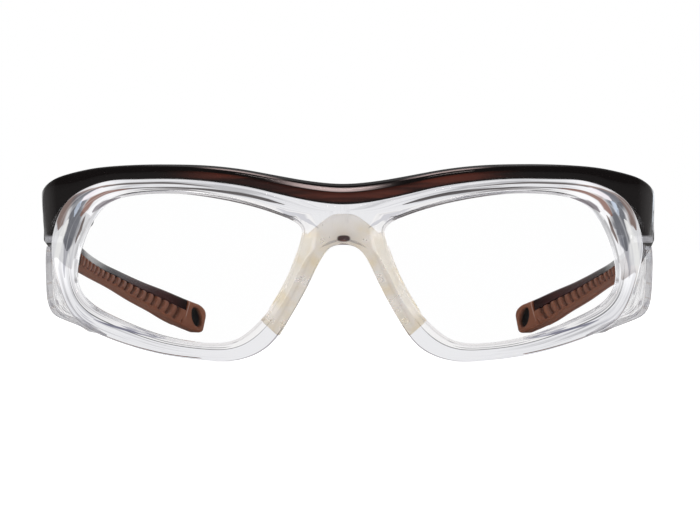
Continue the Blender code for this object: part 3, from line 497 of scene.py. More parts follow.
# Marks on the grip: groove is 1 at the bottom of a groove, which painted shade darkens, a painted
# highlight line runs along the tip's front edge, and window is 1 inside the oval window
def buildGrip(sheet):
    cloud = sheet.noise(140.0, 5.0, 0.6)
    colour = sheet.mix(cloud, gripLook["brown"], gripLook["pale"])
    # Painted shade in the grooves
    colour = sheet.mix(sheet.mark("groove") * 0.6, colour, gripLook["deep"])
    # A painted highlight line along the tip's front edge
    colour = sheet.mix(sheet.mark("lip") * 0.8, colour, gripLook["lip"])
    colour = sheet.mix(sheet.mark("window"), colour, gripLook["window"])
    return {"Base Color": colour, "Roughness": cloud * 0.2 + 0.45,
            "Normal": sheet.bump(sheet.noise(2600.0, 4.0, 0.6), 0.35, 0.00003)}


# The saddle's colours: milk, amber, a painted shade, a painted lighter top, and the dark spot's black
# and red
saddleLook = {"milk": (0.95, 0.90, 0.84), "amber": (0.88, 0.73, 0.47), "shade": (0.50, 0.45, 0.38),
              "pale": (0.96, 0.915, 0.865), "spot": (0.010, 0.004, 0.004),
              "red": (0.07, 0.018, 0.014)}


# Marks on the saddle: channel is 1 along the pads' shallow lines, which painted shade darkens, up
# is 1 on the bridge, whose top is painted lighter, dusk is 1 in the painted shade round the dark
# spot, spot is 1 inside it, and glint is 1 in its lower part
def buildSaddle(sheet):
    cloud = sheet.noise(190.0, 4.0, 0.55)
    colour = sheet.mix(sheet.steps(cloud, 0.35, 0.75), saddleLook["milk"], saddleLook["amber"])
    # Painted shade along the channels, a painted lighter top on the bridge, and painted shade round
    # the dark spot
    colour = sheet.mix(sheet.mark("channel") * 0.35, colour, saddleLook["shade"])
    colour = sheet.mix(sheet.mark("up"), colour, saddleLook["pale"])
    colour = sheet.mix(sheet.mark("dusk") * 0.5, colour, saddleLook["shade"])
    inside = sheet.mix(sheet.mark("glint"), saddleLook["spot"], saddleLook["red"])
    colour = sheet.mix(sheet.steps(sheet.mark("spot"), 0.35, 0.6), colour, inside)
    return {"Base Color": colour, "Roughness": cloud * 0.15 + 0.22,
            "Normal": sheet.bump(sheet.noise(420.0, 3.0), 0.3, 0.00008)}


def buildSteel(sheet):
    brush = sheet.noise(500.0, 3.0, 0.6, (1, 1, 14))
    return {"Base Color": sheet.mix(brush, (0.30, 0.29, 0.29), (0.46, 0.44, 0.43)),
            "Roughness": brush * 0.2 + 0.22, "Normal": sheet.bump(brush, 0.2, 0.00001)}


clearPlastic = newMaterial("clearPlastic", {
    "Transmission Weight": 1.0, "IOR": clearLook["ior"], "Emission Strength": 1.0}, buildClear)
clearLens = newMaterial("clearLens", {
    "Transmission Weight": 1.0, "IOR": 1.12, "Roughness": 0.0}, buildLens)
clearSheet = newMaterial("clearSheet", {"Specular IOR Level": 0.3}, buildSheet)
brownBar = newMaterial("brownBar", {
    "Coat Roughness": 0.03, "IOR": 1.36, "Specular IOR Level": 0.2,
    "Emission Strength": 1.0}, buildBar)
armPlastic = newMaterial("armPlastic", {"Specular IOR Level": 0.12}, buildArm)
gripRubber = newMaterial("gripRubber", {"Specular IOR Level": 0.4}, buildGrip)
milkySilicone = newMaterial("milkySilicone", {
    "Subsurface Weight": 0.8, "Subsurface Radius": (1.0, 0.85, 0.7), "Subsurface Scale": 0.004,
    "Transmission Weight": 0.85, "IOR": 1.25}, buildSaddle)
hingeSteel = newMaterial("hingeSteel", {"Metallic": 1.0}, buildSteel)
print("materials made")


# Clear front

front = {
    "eyeWidth": 54.9, "eyeHeight": 35.1, "bridge": 19.4, "bottom": 4.05,
    "thick": 4.2, "wrapRadius": 130.0, "riseRadius": 160.0,
    "bridgeTop": 36.5, "archTop": 27.3, "archSide": 4.6, "archDrop": 1.7,
    "bevelWide": 1.2, "bevelDeep": 0.7,         # slope round the lens opening
    "bevelRounds": (0.08, 0.25), "seatRound": 0.4,
    "innerBand": 1.5, "outerBand": 1.3,         # what keeps its distance from the opening, the edge
    "outerRound": 1.1, "backRound": 0.8,
    "grooveWide": 0.75, "grooveDeep": 0.95, "grooveTip": 0.15,
    "archPlace": 1.35, "topPlace": 17.4,        # rows of the eye that face the middle line's ends
    "rimSteps": 420, "lineSteps": 60,           # cross-sections round the eye and on that line
    "behind": 0.02,                             # from its rear face to what sits behind it
}
# Each row: place along the eye's width, up its height, and the rim's width there as a multiple
# of its width under the lens
eyeRows = np.array((
    (0.005, 0.779, 0.000), (0.004, 0.694, 0.000), (0.056, 0.447, 1.170), (0.126, 0.253, 1.200),
    (0.214, 0.100, 1.430), (0.302, 0.013, 1.160), (0.424, 0.000, 1.000), (0.607, 0.043, 1.090),
    (0.807, 0.154, 1.310), (0.944, 0.265, 1.410), (1.000, 0.410, 1.235), (0.985, 0.610, 1.980),
    (0.927, 0.823, 2.100), (0.843, 0.951, 1.333), (0.707, 0.999, 0.914), (0.506, 1.000, 0.889),
    (0.260, 0.936, 1.037), (0.069, 0.842, 1.235),
))
eyeSpots = np.column_stack([front["bridge"] / 2 + eyeRows[:, 0] * front["eyeWidth"],
                            front["bottom"] + eyeRows[:, 1] * front["eyeHeight"]])
middleHigh = front["bottom"] + front["eyeHeight"] / 2
eyeCount = len(eyeRows)
perRow = 40                                     # samples of the outlines for each row


# How far the front's face lies back: two circles, one seen from above and one from the side
def frontDepth(x, z):
    wrap = front["wrapRadius"] - np.sqrt(front["wrapRadius"] ** 2 - x ** 2)
    rise = front["riseRadius"] - np.sqrt(front["riseRadius"] ** 2 - (z - middleHigh) ** 2)
    return wrap + rise


# The whole front's outline: under the bridge, round the right rim and over the bridge, and back
def outerSpots():
    out = eyeSpots + across(eyeSpots) * eyeRows[:, 2:] * front["bottom"]
    half = [(0, front["archTop"]), (front["archSide"], front["archTop"] - front["archDrop"])]
    half += [tuple(spot) for spot in out[2:]] + [(0, front["bridgeTop"])]
    return np.array(half + [(-x, z) for x, z in reversed(half[1:-1])])


# A closed smooth outline through rows of spots
def denseOutline(rows):
    return soften(curveAt(rows, np.arange(len(rows) * perRow) / perRow, True), 10, True)


eyeDense, outlineDense = denseOutline(eyeSpots), denseOutline(outerSpots())


# Reads a closed dense outline and its outward direction at places counted in rows
def readOutline(dense, places):
    at = np.mod(places, len(dense) / perRow) * perRow
    both = np.hstack([dense, across(dense)])
    looped = np.vstack([both, both[:1]])
    read = readAt(looped, np.arange(len(looped)), at)
    return read[:, :2], read[:, 2:] / np.linalg.norm(read[:, 2:], axis=1)[:, None]


# Rows of the eye and a mark's values there: how strong the drawn-out painted dark lines are,
# where the corner in front of the hinge has its painted glow, and where the edge over the saddle
# glows with the saddle's painted colours
streakRows = ((1.3, 2, 5, 6.5, 7.6, 8.3, 9.5, 11, 13, 15, 16.6, 17.6, 19.3),
              (0, 0, 0, 0.15, 0.5, 0.9, 0.8, 0.75, 0.8, 0.8, 0.7, 0.1, 0))
shineRows = ((9.6, 10.4, 12.9, 13.7), (0, 1, 1, 0))
saddleGlowRows = ((1.3, 2.8, 3.5, 18.3, 18.9, 19.3), (1, 1, 0, 0, 1, 1))
saddleGlowOut = 0.34                                 # how far across the rim the painted saddle glow reaches
glowColumns = 6                                      # columns from the outer edge's start that keep the painted glow
farOff, farthest = 9, 200                       # a band's place where it isn't drawn, most half widths
otherHalf = 400                                 # mm that set the other half's noise apart


# The front's half: a closed cross-section carried round the lens opening. Its inner columns keep
# their distance from the opening and its outer columns from the outline, and those between are
# blended. A point's depth is the face's depth there and its own in the section. Along the middle
# line the section stays open, and the mirrored half closes it.
def frontSolid():
    thick, middle = front["thick"], front["thick"] / 2
    deep, wide, tip = front["grooveDeep"], front["grooveWide"], front["grooveTip"]
    inset = front["outerBand"]
    inner = roundedChain([(0, middle - wide), (0, front["bevelDeep"], front["bevelRounds"][0]),
                          (front["bevelWide"], 0, front["bevelRounds"][1]), (front["innerBand"], 0)])
    outer = roundedChain([(inset, 0), (0, 0, front["outerRound"]), (0, thick, front["backRound"]),
                          (inset, thick)], 9)
    back = roundedChain([(front["innerBand"], thick), (0, thick, front["seatRound"]),
                         (0, middle + wide)])
    groove = np.array([(deep, middle + tip), (deep, middle - tip)])
    between = np.linspace(0, 1, 8)[1:-1]

    rim = np.linspace(front["archPlace"], front["topPlace"], front["rimSteps"])
    line = np.linspace(front["topPlace"], eyeCount + front["archPlace"], front["lineSteps"])[1:-1]
    spots = np.concatenate([rim, line])
    eye, eyeSide = readOutline(eyeDense, spots)
    places = np.interp(rim, (front["archPlace"], 2, eyeCount - 1, front["topPlace"]),
                       (0, 2, eyeCount - 1, eyeCount))
    edge, edgeSide = readOutline(outlineDense, places)
    edge[[0, -1], 0] = 0
    edgeSide[[0, -1], 0] = 0
    top, arch = edge[-1, 1] - inset, edge[0, 1] + inset
    high = np.linspace(top, arch, len(line) + 2)[1:-1]
    lineSpots = np.column_stack([np.zeros(len(line)), high])

    width = np.linalg.norm(np.vstack([edge, lineSpots]) - eye, axis=1)
    near = eye + eyeSide * front["innerBand"]
    far = np.vstack([edge - edgeSide * inset, lineSpots])
    columns = [(eye + eyeSide * a, y) for a, y in inner]
    columns += [(near + (far - near) * share, 0) for share in between]
    columns += [(np.vstack([edge - edgeSide * b, lineSpots]), y) for b, y in outer]
    columns += [(near + (far - near) * share, thick) for share in between[::-1]]
    columns += [(eye + eyeSide * a, y) for a, y in np.vstack([back, groove])]

    points = np.stack([np.column_stack([flat[:, 0], frontDepth(*flat.T) + y, flat[:, 1]])
                       for flat, y in columns], axis=1)
    rows, count = points.shape[:2]
    firstOuter = len(inner) + len(between)
    out = np.stack([np.linalg.norm(flat - eye, axis=1) / width for flat, _ in columns], axis=1)
    along = lengthAlong(eye)[:, None] + 0 * out

    def byRow(table, values=1):
        return np.interp(spots, table[0], table[values])[:, None] + 0 * out

    marks = {"along": along, "out": out, "streaky": byRow(streakRows),
             "corner": byRow(shineRows), "saddleGlow": byRow(saddleGlowRows) * (out < saddleGlowOut)}
    for name, (_, *table) in bands.items():
        inside = (spots > table[0][0]) & (spots < table[0][-1])
        place = np.where(inside[:, None], byRow(table), farOff)
        marks[name] = np.clip((out - place) / byRow(table, 2), -farthest, farthest)
    # The painted glow stops a few columns into the outer edge
    for name in ("corner", "saddleGlow"):
        marks[name][:, firstOuter + glowColumns:] = 0
    marks = {name: np.tile(values.ravel(), 2) for name, values in marks.items()}
    marks["along"][points[..., 0].size:] += otherHalf
    keep = np.ones((rows, count), bool)
    keep[len(rim) - 1:, firstOuter:firstOuter + len(outer) - 1] = False
    half = points.reshape(-1, 3), [gridFaces(rows, count, True, True, keep)]
    return joined(half, mirrored(*half)), marks


frontPiece, frontMarks = frontSolid()
addPiece("clearFront", frontPiece, clearPlastic, "front", "front_frame", frontMarks)
print("clear front made")


# Lenses

lens = {"thick": 2.0, "bevelHigh": 0.75, "bevelRoot": 0.62, "bevelTip": 0.12, "inside": 0.05,
        "steps": 240, "rings": 26}


# A lens: the opening's outline drawn in towards its middle, over two faces and a V-shaped edge
def lensSolid():
    eye, side = readOutline(eyeDense, np.linspace(0, eyeCount, lens["steps"], endpoint=False))
    centre = eye.mean(axis=0)
    half, y0 = lens["thick"] / 2, front["thick"] / 2
    rim = [(-lens["inside"], -half), (-lens["inside"], -lens["bevelRoot"]),
           (lens["bevelHigh"], -lens["bevelTip"]), (lens["bevelHigh"], lens["bevelTip"]),
           (-lens["inside"], lens["bevelRoot"]), (-lens["inside"], half)]
    shares = np.linspace(0, 1, lens["rings"])[:-1]
    flats = [(centre + (eye - centre) * share, -half) for share in shares]
    flats += [(eye + side * a, y) for a, y in rim]
    flats += [(centre + (eye - centre) * share, half) for share in shares[::-1]]
    points = np.stack([np.column_stack([flat[:, 0], frontDepth(*flat.T) + y0 + y, flat[:, 1]])
                       for flat, y in flats])
    return points.reshape(-1, 3), [gridFaces(len(flats), len(eye), False, True)]


addPair("Lens", lensSolid(), clearLens, ("front", "front"), "lens")
print("lenses made")


# Brow bar

bar = {
    "proud": 0.5, "halfWidth": 75.2, "back": 35.0, "endLow": 27.5, "endTop": 39.3, "endThick": 6.4,
    "high": 4.9, "rise": 4.8, "thick": 4.7, "corner": 12.2,
    "seat": 0.12,                # how far it is bonded into the clear front
    "lean": 1.3, "leanRun": 6.5, "crown": 0.30,
    "topRound": 1.25, "lowRound": 0.35, "backRound": 0.8,
    "samples": 900, "steps": 560, "soft": 6,    # places on its path, cross-sections, softening
    "around": 72,                               # points round each cross-section
    "tuckLate": 0.4, "tuckRun": 0.4, "tuckAhead": 0.1, "tuckGap": 0.05,     # behind the front
    "middleReach": 36,                          # half of the warm middle
    "centrePlace": -3, "centreReach": 11,       # painted highlight lines
    "flankPlace": 24, "flankReach": 8.5,
    "sideReach": 5,                             # its ends, with their painted reflection, and how they look lower down
    # The end pieces' lower ends, painted pale grey with a painted glow: their foot, then a strip up
    # the outer side
    "footHigh": 1.9, "footReach": 6, "footSoft": 0.5,
    "stripHigh": 6, "stripReach": 0.9, "stripSoft": 0.7,
}
# Each row: share of the way out to the corner, share of the upper edge's rise, and thickness as
# a multiple of the middle's
barRows = ((0.0, 0.0, 1.0), (0.127, 0.146, 1.0), (0.262, 0.458, 1.0), (0.384, 0.75, 1.0),
           (0.516, 0.938, 1.0), (0.651, 1.0, 1.0), (0.786, 1.0, 1.021), (0.917, 0.917, 1.064),
           (1.0, 0.771, 1.106))
# Each row of the turn: share of the way out, of the way back, of the lower edge's drop, of the
# upper edge's drop, and of the quarter turn
cornerRows = ((0.64, 0.24, 0.42, 0.29, 0.42), (0.93, 0.45, 0.83, 0.65, 0.75),
              (1.0, 0.70, 0.97, 0.93, 0.96), (1.0, 1.0, 1.0, 1.0, 1.0))


# Height of the clear front's upper edge, from its middle out to its widest place
def frontTop(x):
    upper = outlineDense[:eyeCount * perRow + 1]
    upper = upper[np.argmax(upper[:, 0]):]
    order = np.argsort(upper[:, 0])
    return np.interp(x, upper[order, 0], upper[order, 1], right=0.0)


# Rows along the bar: x, y, turn, lower and upper edge and thickness, out from its middle to the
# corner and round it to the end piece, then read again at even distances and softened
def barPath():
    rows = []
    for out, rise, thick in barRows:
        x = out * (bar["halfWidth"] - bar["corner"])
        low = float(frontTop(x)) - bar["seat"]
        high = front["bridgeTop"] + bar["high"] + rise * bar["rise"]
        y = float(frontDepth(x, (low + high) / 2)) - bar["proud"]
        rows.append((x, y, 0, low, high, thick * bar["thick"]))
    corner = np.array(rows[-1])
    end = np.array((bar["halfWidth"], bar["back"], math.pi / 2, bar["endLow"], bar["endTop"],
                    bar["endThick"]))
    for out, back, low, high, turn in cornerRows:
        rows.append(corner + (end - corner) * (out, back, turn, low, high, turn))
    rows = np.array(rows)
    whole = np.vstack([rows[:0:-1] * (-1, 1, -1, 1, 1, 1), rows])
    fine = curveAt(whole, np.linspace(0, len(whole) - 1, bar["samples"]))
    length = lengthAlong(fine[:, :2])
    even = readAt(fine, length, np.linspace(0, length[-1], bar["steps"]))
    return soften(even, bar["soft"]).T


# The bar: an upright rounded section carried along its path. A section's first number runs from
# the outer face inwards, square to the path, and its second one is the height. What would sink
# into the clear front from above is drawn back behind it.
def barSolid():
    x, y, turn, low, high, thick = barPath()
    low = np.maximum(low, frontTop(np.abs(x)) - bar["seat"])
    sections, lows = [], []
    for k, t in enumerate(thick):
        ring = roundedChain([(t / 2, low[k]), (0, low[k], bar["lowRound"]),
                             (0, high[k], bar["topRound"]), (t, high[k], bar["backRound"]),
                             (t, low[k], bar["lowRound"]), (t / 2, low[k])], 9)[:-1]
        ring = evenRing(ring, bar["around"])
        up = (ring[:, 1] - low[k]) / (high[k] - low[k])
        ahead = np.clip((bar["back"] - y[k]) / bar["leanRun"], 0, 1)
        lean = bar["lean"] * min(abs(turn[k]), 1) * ahead
        ring[:, 0] += np.where(ring[:, 0] < t / 2, bar["crown"] * (2 * up - 1) ** 2, 0)
        ring[:, 0] += lean * (1 - up) * (1 - ring[:, 0] / t)
        sections.append(ring)
        lows.append(1 - up)
    inward, height = np.moveaxis(np.array(sections), 2, 0)
    rings = np.stack([x[:, None] - np.sin(turn)[:, None] * inward,
                      y[:, None] + np.cos(turn)[:, None] * inward, height], axis=2)
    slab = frontDepth(rings[:, :, 0], height)
    under = (frontTop(np.abs(rings[:, :, 0])) - height) / bar["tuckRun"] - bar["tuckLate"]
    behind = slab + front["thick"] + bar["tuckGap"]
    tuck = np.clip(under, 0, 1) * (rings[:, :, 1] > slab - bar["tuckAhead"])
    tuck *= rings[:, :, 1] < behind
    rings[:, :, 1] += (behind - rings[:, :, 1]) * tuck
    points, faces = tube(rings)
    place, side = points[:, 0], np.abs(points[:, 0])
    inwards, rise = bar["halfWidth"] - side, points[:, 2] - bar["endLow"]
    # A strip up the end pieces' outer side and their foot, painted pale grey with a painted glow
    strip = np.clip((bar["stripReach"] - inwards) / bar["stripSoft"], 0, 1)
    strip *= np.clip(1 - rise / bar["stripHigh"], 0, 1)
    foot = np.clip((bar["footHigh"] - rise) / bar["footSoft"], 0, 1)
    foot *= inwards < bar["footReach"]
    # Where the painted highlight lines run
    centre = (place - bar["centrePlace"]) / bar["centreReach"]
    flank = (side - bar["flankPlace"]) / bar["flankReach"]
    return (points, faces), {"low": tubeMark(lows, (0.5, 0.5)), "tail": np.maximum(strip, foot),
                             "middle": np.exp(-(place / bar["middleReach"]) ** 6),
                             "side": np.clip(1 - inwards / bar["sideReach"], 0, 1),
                             "centre": np.exp(-centre ** 4), "flank": np.exp(-flank ** 4)}


barPiece, barMarks = barSolid()
addPiece("browBar", barPiece, brownBar, "front", "brow_bar", barMarks)
print("brow bar made")


# Side shields

shield = {"thick": 1.5, "inset": 0.6, "end": 57.0, "flare": 5.5, "back": 12.5, "dip": 1.2,
          "bulge": 0.6, "gap": 0.3, "long": 60, "thinFrom": 0.82, "thinTo": 0.15,
          "rimSamples": 1400, "samples": 300, "steps": 120, "across": 16}
# Each row: share of the way down its front edge, of the flare and of the way back
shieldRows = ((0.00, 0.45, 0.92), (0.20, 0.62, 1.00), (0.42, 0.90, 1.00), (0.54, 0.97, 0.96),
              (0.61, 0.86, 0.90), (0.67, 0.56, 0.83), (0.73, 0.30, 0.75), (0.80, 0.12, 0.66),
              (0.90, 0.03, 0.40), (1.00, 0.00, 0.08))


# A shield: straight lines from behind the rim out to the rear edge, bulged, with a wall behind
def shieldSolid():
    top = bar["endLow"] - shield["gap"]
    spots, sides = readOutline(outlineDense, np.linspace(0, eyeCount, shield["rimSamples"]))
    line = (spots - sides * shield["inset"])[::-1]
    line = line[(line[:, 0] > shield["end"]) & (line[:, 1] < top)]
    length = lengthAlong(line)
    share = np.linspace(0, 1, shield["steps"])
    line = readAt(line, length, share * length[-1])
    fine = curveAt(shieldRows, np.linspace(0, len(shieldRows) - 1, shield["samples"]))
    fine = soften(fine, 8)
    flare = np.interp(share, fine[:, 0], fine[:, 1])
    back = np.interp(share, fine[:, 0], fine[:, 2])
    near = frontDepth(*line.T) + front["thick"] + front["behind"]
    head = np.column_stack([line[:, 0], near, line[:, 1]])
    rear = head + np.column_stack([shield["flare"] * flare, shield["back"] * back,
                                   -shield["dip"] * flare])
    rear[:, 2] = np.minimum(rear[:, 2], top)
    wall = np.cross(np.gradient(head, axis=0), rear - head)
    wall /= np.linalg.norm(wall, axis=1)[:, None]
    thinner = np.interp(share, (shield["thinFrom"], 1), (1, shield["thinTo"]))
    wall = soften(wall, 4) * thinner[:, None]
    away = np.linspace(0, 1, shield["across"])
    away = np.concatenate([away, away[::-1]])
    inside = np.repeat((0, 1), shield["across"])
    rings = []
    for a, n in zip(away, inside):
        spot = head + (rear - head) * a - wall * shield["bulge"] * 4 * a * (1 - a)
        rings.append(spot + wall * shield["thick"] * n)
    down = np.repeat(share * shield["long"], len(away))
    return tube(np.stack(rings, axis=1)), {"along": tubeMark(down, (0, shield["long"])),
                                           "out": tubeMark(np.tile(away, len(share)), (0.5, 0.5))}


shieldPiece, shieldMarks = shieldSolid()
addPair("SideShield", shieldPiece, clearSheet, ("front", "front"), "side_shield",
        shieldMarks)
print("side shields made")


# Nose saddle

saddle = {
    "thick": 2.4, "padDeep": 6.2, "wide": 6.0, "round": 0.12, "steps": 260, "around": 90,
    "channels": (0.30, 0.62), "channelWide": 0.05,          # shares of the way to the nose edge
    "spotHigh": 28.65, "spotSize": (1.75, 0.85),            # the dark spot: place, half sizes
    "duskHigh": 28.6, "duskSize": (3.4, 1.9),               # the shade round it
    "glintHigh": 28.5, "glintRun": 0.5, "glintWide": 0.7,   # the light in it
    "paleFrom": 29.5, "paleRun": 3.5,                       # the bridge over it, painted lighter at the top
    "faceDeep": 0.3,
}
# Each row, from the pad's lower end to the bridge: outer edge (x, z), nose edge (x, z), pad share
saddleRows = ((19.1, 9.2, 15.3, 5.8, 0.40), (17.6, 12.1, 13.3, 9.2, 0.85),
              (15.6, 15.4, 11.3, 12.6, 1.0), (13.3, 19.7, 8.9, 16.9, 1.0),
              (11.5, 24.0, 6.4, 22.2, 0.85), (10.3, 27.3, 4.6, 25.1, 0.5),
              (8.1, 30.0, 3.2, 26.6, 0.15), (5.0, 32.6, 1.6, 27.4, 0.0),
              (2.5, 34.2, 0.8, 27.6, 0.0), (0.0, 34.4, 0.0, 27.6, 0.0))


# The saddle: a rounded four-sided section carried over the bridge from pad to pad. The section
# runs from the outer edge to the nose edge, and back from the clear front's rear face.
def saddleSolid():
    left = np.array(saddleRows)
    whole = np.vstack([left, left[-2::-1] * (-1, 1, -1, 1, 1)])
    fine = soften(curveAt(whole, np.linspace(0, len(whole) - 1, saddle["steps"])), 4)
    base, wide, r = front["thick"] + front["behind"], saddle["wide"], saddle["round"]
    rings, channels = [], []
    for ox, oz, nx, nz, pad in fine:
        deep = saddle["thick"] + (saddle["padDeep"] - saddle["thick"]) * max(pad, 0)
        ring = roundedChain([(0.5, 0), (1, 0, r), (1, deep, r), (0, saddle["thick"], r),
                             (0, 0, r), (0.5, 0)], 7)[:-1]
        share, back = (evenRing(ring * (wide, 1), saddle["around"]) / (wide, 1)).T
        x, z = ox + (nx - ox) * share, oz + (nz - oz) * share
        rings.append(np.column_stack([x, frontDepth(x, z) + base + back, z]))
        lines = [np.exp(-((share - at) / saddle["channelWide"]) ** 2) for at in saddle["channels"]]
        channels.append(sum(lines) * np.clip(pad * 2 - 0.6, 0, 1))
    points, faces = tube(np.array(rings))
    x, y, z = points.T
    spotWide, spotHigh = saddle["spotSize"]
    duskWide, duskHigh = saddle["duskSize"]
    near = y < frontDepth(x, z) + base + saddle["faceDeep"]
    spot = np.exp(-np.abs(x / spotWide) ** 2.5 - np.abs((z - saddle["spotHigh"]) / spotHigh) ** 2.5)
    dusk = np.exp(-(x / duskWide) ** 2 - ((z - saddle["duskHigh"]) / duskHigh) ** 2)
    glint = np.clip((saddle["glintHigh"] - z) / saddle["glintRun"], 0, 1)
    glint *= np.exp(-(x / saddle["glintWide"]) ** 2)
    up = np.clip((z - saddle["paleFrom"]) / saddle["paleRun"], 0, 1)
    return (points, faces), {"channel": tubeMark(channels), "spot": spot * near, "dusk": dusk,
                             "glint": glint, "up": up}


saddlePiece, saddleMarks = saddleSolid()
addPiece("noseSaddle", saddlePiece, milkySilicone, "front", "nose_saddle", saddleMarks)
print("nose saddle made")


# Temples

temple = {
    "reach": 119.0, "hook": 26.5, "drop": 29.2, "high": 11.8, "thick": 6.4, "gap": 0.3, "round": 1.0,
    "leanStart": 0.10, "leanShare": 0.15,
    "rootStep": 0.02, "rootRound": 0.5,         # its inner, lower side before the grip
    "wallRound": 0.2, "recessRound": 0.1,       # and along it
    "start": 0.2, "faceDeep": 0.3,
    "bossPlace": 13.3, "bossRise": 3.0, "bossLong": 11.0, "bossHigh": 5.0, "bossDeep": 3.8,
    "bossAround": 48, "bossRings": 33,
    "samples": 1200, "rootSteps": 90, "bladeSteps": 160,    # places on its path, cross-sections
}
# Each row: share of the reach, of the hook, of the drop, of the root's height and of its thickness
templeRows = ((0.000, 0.000, 0.000, 1.000, 1.000), (0.065, 0.000, 0.070, 0.924, 1.000),
              (0.105, 0.000, 0.114, 0.847, 1.094), (0.150, 0.000, 0.161, 0.763, 1.000),
              (0.225, 0.000, 0.228, 0.600, 0.719), (0.330, 0.008, 0.327, 0.460, 0.640),
              (0.510, 0.087, 0.453, 0.390, 0.620), (0.650, 0.221, 0.564, 0.400, 0.660),
              (0.768, 0.389, 0.685, 0.480, 0.700), (0.860, 0.564, 0.787, 0.550, 0.750),
              (0.930, 0.751, 0.891, 0.620, 0.766), (1.000, 1.000, 1.000, 0.650, 0.766))
grip = {
    "start": 0.30, "wall": 1.7, "share": 0.60, "proud": 0.3, "gap": 0.05,
    # Edges: upper outer, upper inner, lower inner, lower outer
    "padRounds": (0.25, 0.6, 1.3, 0.1), "tipRounds": (1.3, 1.3, 1.3, 1.3),
    "faceDeep": 1.4, "faceRun": 1.2,            # what counts as its inner face
    "ribs": 18, "ribDeep": 0.75, "ribCurve": 1.5, "ribBend": 1.25, "ribLow": 0.10, "ribRun": 0.10,
    "ribFirst": 1.0, "ribLast": 0.6, "ribFade": 0.4,
    "tip": 9.5, "tipRound": 2.0, "endShare": 0.5, "tipSlope": 0.24, "tipSlopeRun": 4.5,
    "windowHigh": 4.8, "windowWide": 4.4, "windowPlace": 0.53, "windowDeep": 1.2,
    "windowLean": 0.45, "windowOver": 0.08, "windowWall": 0.16,
    # The painted highlight line along the tip's front edge: its slant, width and lowest share of the
    # height
    "lipSlant": 0.9, "lipWide": 0.16, "lipLow": 0.35,
    "padSteps": 620, "tipSteps": 110, "around": 110,        # cross-sections, points round each
}


# The temple's path: distances along it in mm, and what is there: outer face (x, y), middle height,
# height and thickness
def templePath():
    rows = np.array(templeRows)
    spots = np.column_stack([bar["halfWidth"] - temple["hook"] * rows[:, 1],
                             bar["back"] + temple["gap"] + temple["reach"] * rows[:, 0],
                             hinge["high"] - temple["drop"] * rows[:, 2],
                             temple["high"] * rows[:, 3], temple["thick"] * rows[:, 4]])
    fine = curveAt(spots, np.linspace(0, len(spots) - 1, temple["samples"]))
    return lengthAlong(fine[:, :3]), fine


pathLength, pathFine = templePath()
templeLong = pathLength[-1]


def readPath(places):
    return readAt(pathFine, pathLength, places)


# Stands flat sections (inward, up) across the temple's path: upright at the hinge, and square to
# the falling path from there on. The direction along in plan is taken over 1 mm.
def standUp(places, sections):
    rows = readPath(places)
    along = (readPath(places + 0.5) - readPath(places - 0.5))[:, :2]
    along /= np.linalg.norm(along, axis=1)[:, None]
    inward, up = sections[:, :, 0], sections[:, :, 1]
    low = rows[:, 2] - rows[:, 3] / 2
    slope = -np.gradient(pathFine[:, 2], lengthAlong(pathFine[:, :2]))
    reach = (rows[:, 1] - bar["back"]) / temple["reach"]
    lean = np.interp(places, pathLength, slope)
    lean *= np.clip((reach - temple["leanStart"]) / temple["leanShare"], 0, 1)
    shift = lean[:, None] * (up - rows[:, 3:4] / 2)
    return np.stack([rows[:, :1] - along[:, 1:] * inward + along[:, :1] * shift,
                     rows[:, 1:2] + along[:, :1] * inward + along[:, 1:] * shift,
                     low[:, None] + up], axis=2)


gripFrom = grip["start"] * templeLong
tipFrom = templeLong - grip["tip"]


# The arm: a rounded bar that is cut back on its inner, lower side where the grip sits
def armSolid():
    r, notch = temple["round"], temple["recessRound"]
    places = np.concatenate([np.linspace(0, gripFrom, temple["rootSteps"]),
                             np.linspace(gripFrom + 0.01, tipFrom, temple["bladeSteps"])])
    sections = []
    for place, (*_, high, thick) in zip(places, readPath(places)):
        low, wall, foot = high * grip["share"], grip["wall"], temple["wallRound"]
        if place <= gripFrom:
            low, wall, foot = high / 2, thick - temple["rootStep"], temple["rootRound"]
        start = (thick, low + temple["start"])
        corners = [start, (thick, low, notch), (wall, low, notch), (wall, 0, foot), (0, 0, r),
                   (0, high, r), (thick, high, r), start]
        sections.append(roundedChain(corners, 7)[:-1])
    sections = np.array(sections)
    under = (sections[:, :, 1] < temple["faceDeep"]) & (places[:, None] > gripFrom)
    points, faces = tube(standUp(places, sections))
    along = np.clip((points[:, 1] - bar["back"]) / temple["reach"], 0, 1)
    inside = sections[:, :, 0] > sections[:, :, 0].max(axis=1, keepdims=True) - temple["faceDeep"]
    return (points, faces), {"along": along, "under": tubeMark(under), "inside": tubeMark(inside)}


# A closed egg: a grid over the angles round and along it
def eggSolid(middle, size, around, rings):
    angle = np.linspace(0, 2 * math.pi, around, endpoint=False)[None, :]
    rise = np.linspace(-math.pi / 2, math.pi / 2, rings)[:, None]
    points = np.stack([np.cos(rise) * np.cos(angle), np.cos(rise) * np.sin(angle),
                       np.sin(rise) + 0 * angle], axis=2) * size + middle
    return points.reshape(-1, 3), [gridFaces(rings, around, False, True)]


# The swelling on the arm's inner face, behind the hinge
def bossSolid():
    x, y, high, _, thick = readPath(np.array([temple["bossPlace"]]))[0]
    return eggSolid((x - thick, y, high + temple["bossRise"]),
                    (temple["bossDeep"], temple["bossLong"] / 2, temple["bossHigh"] / 2),
                    temple["bossAround"], temple["bossRings"])


# How deep a groove is at a phase of the pitch: it sinks slowly and comes back steeply
def grooveShape(phase):
    return np.interp(np.mod(phase, 1), (0, 0.40, 0.72, 0.90, 1.0), (0, 0, 1, 1, 0))


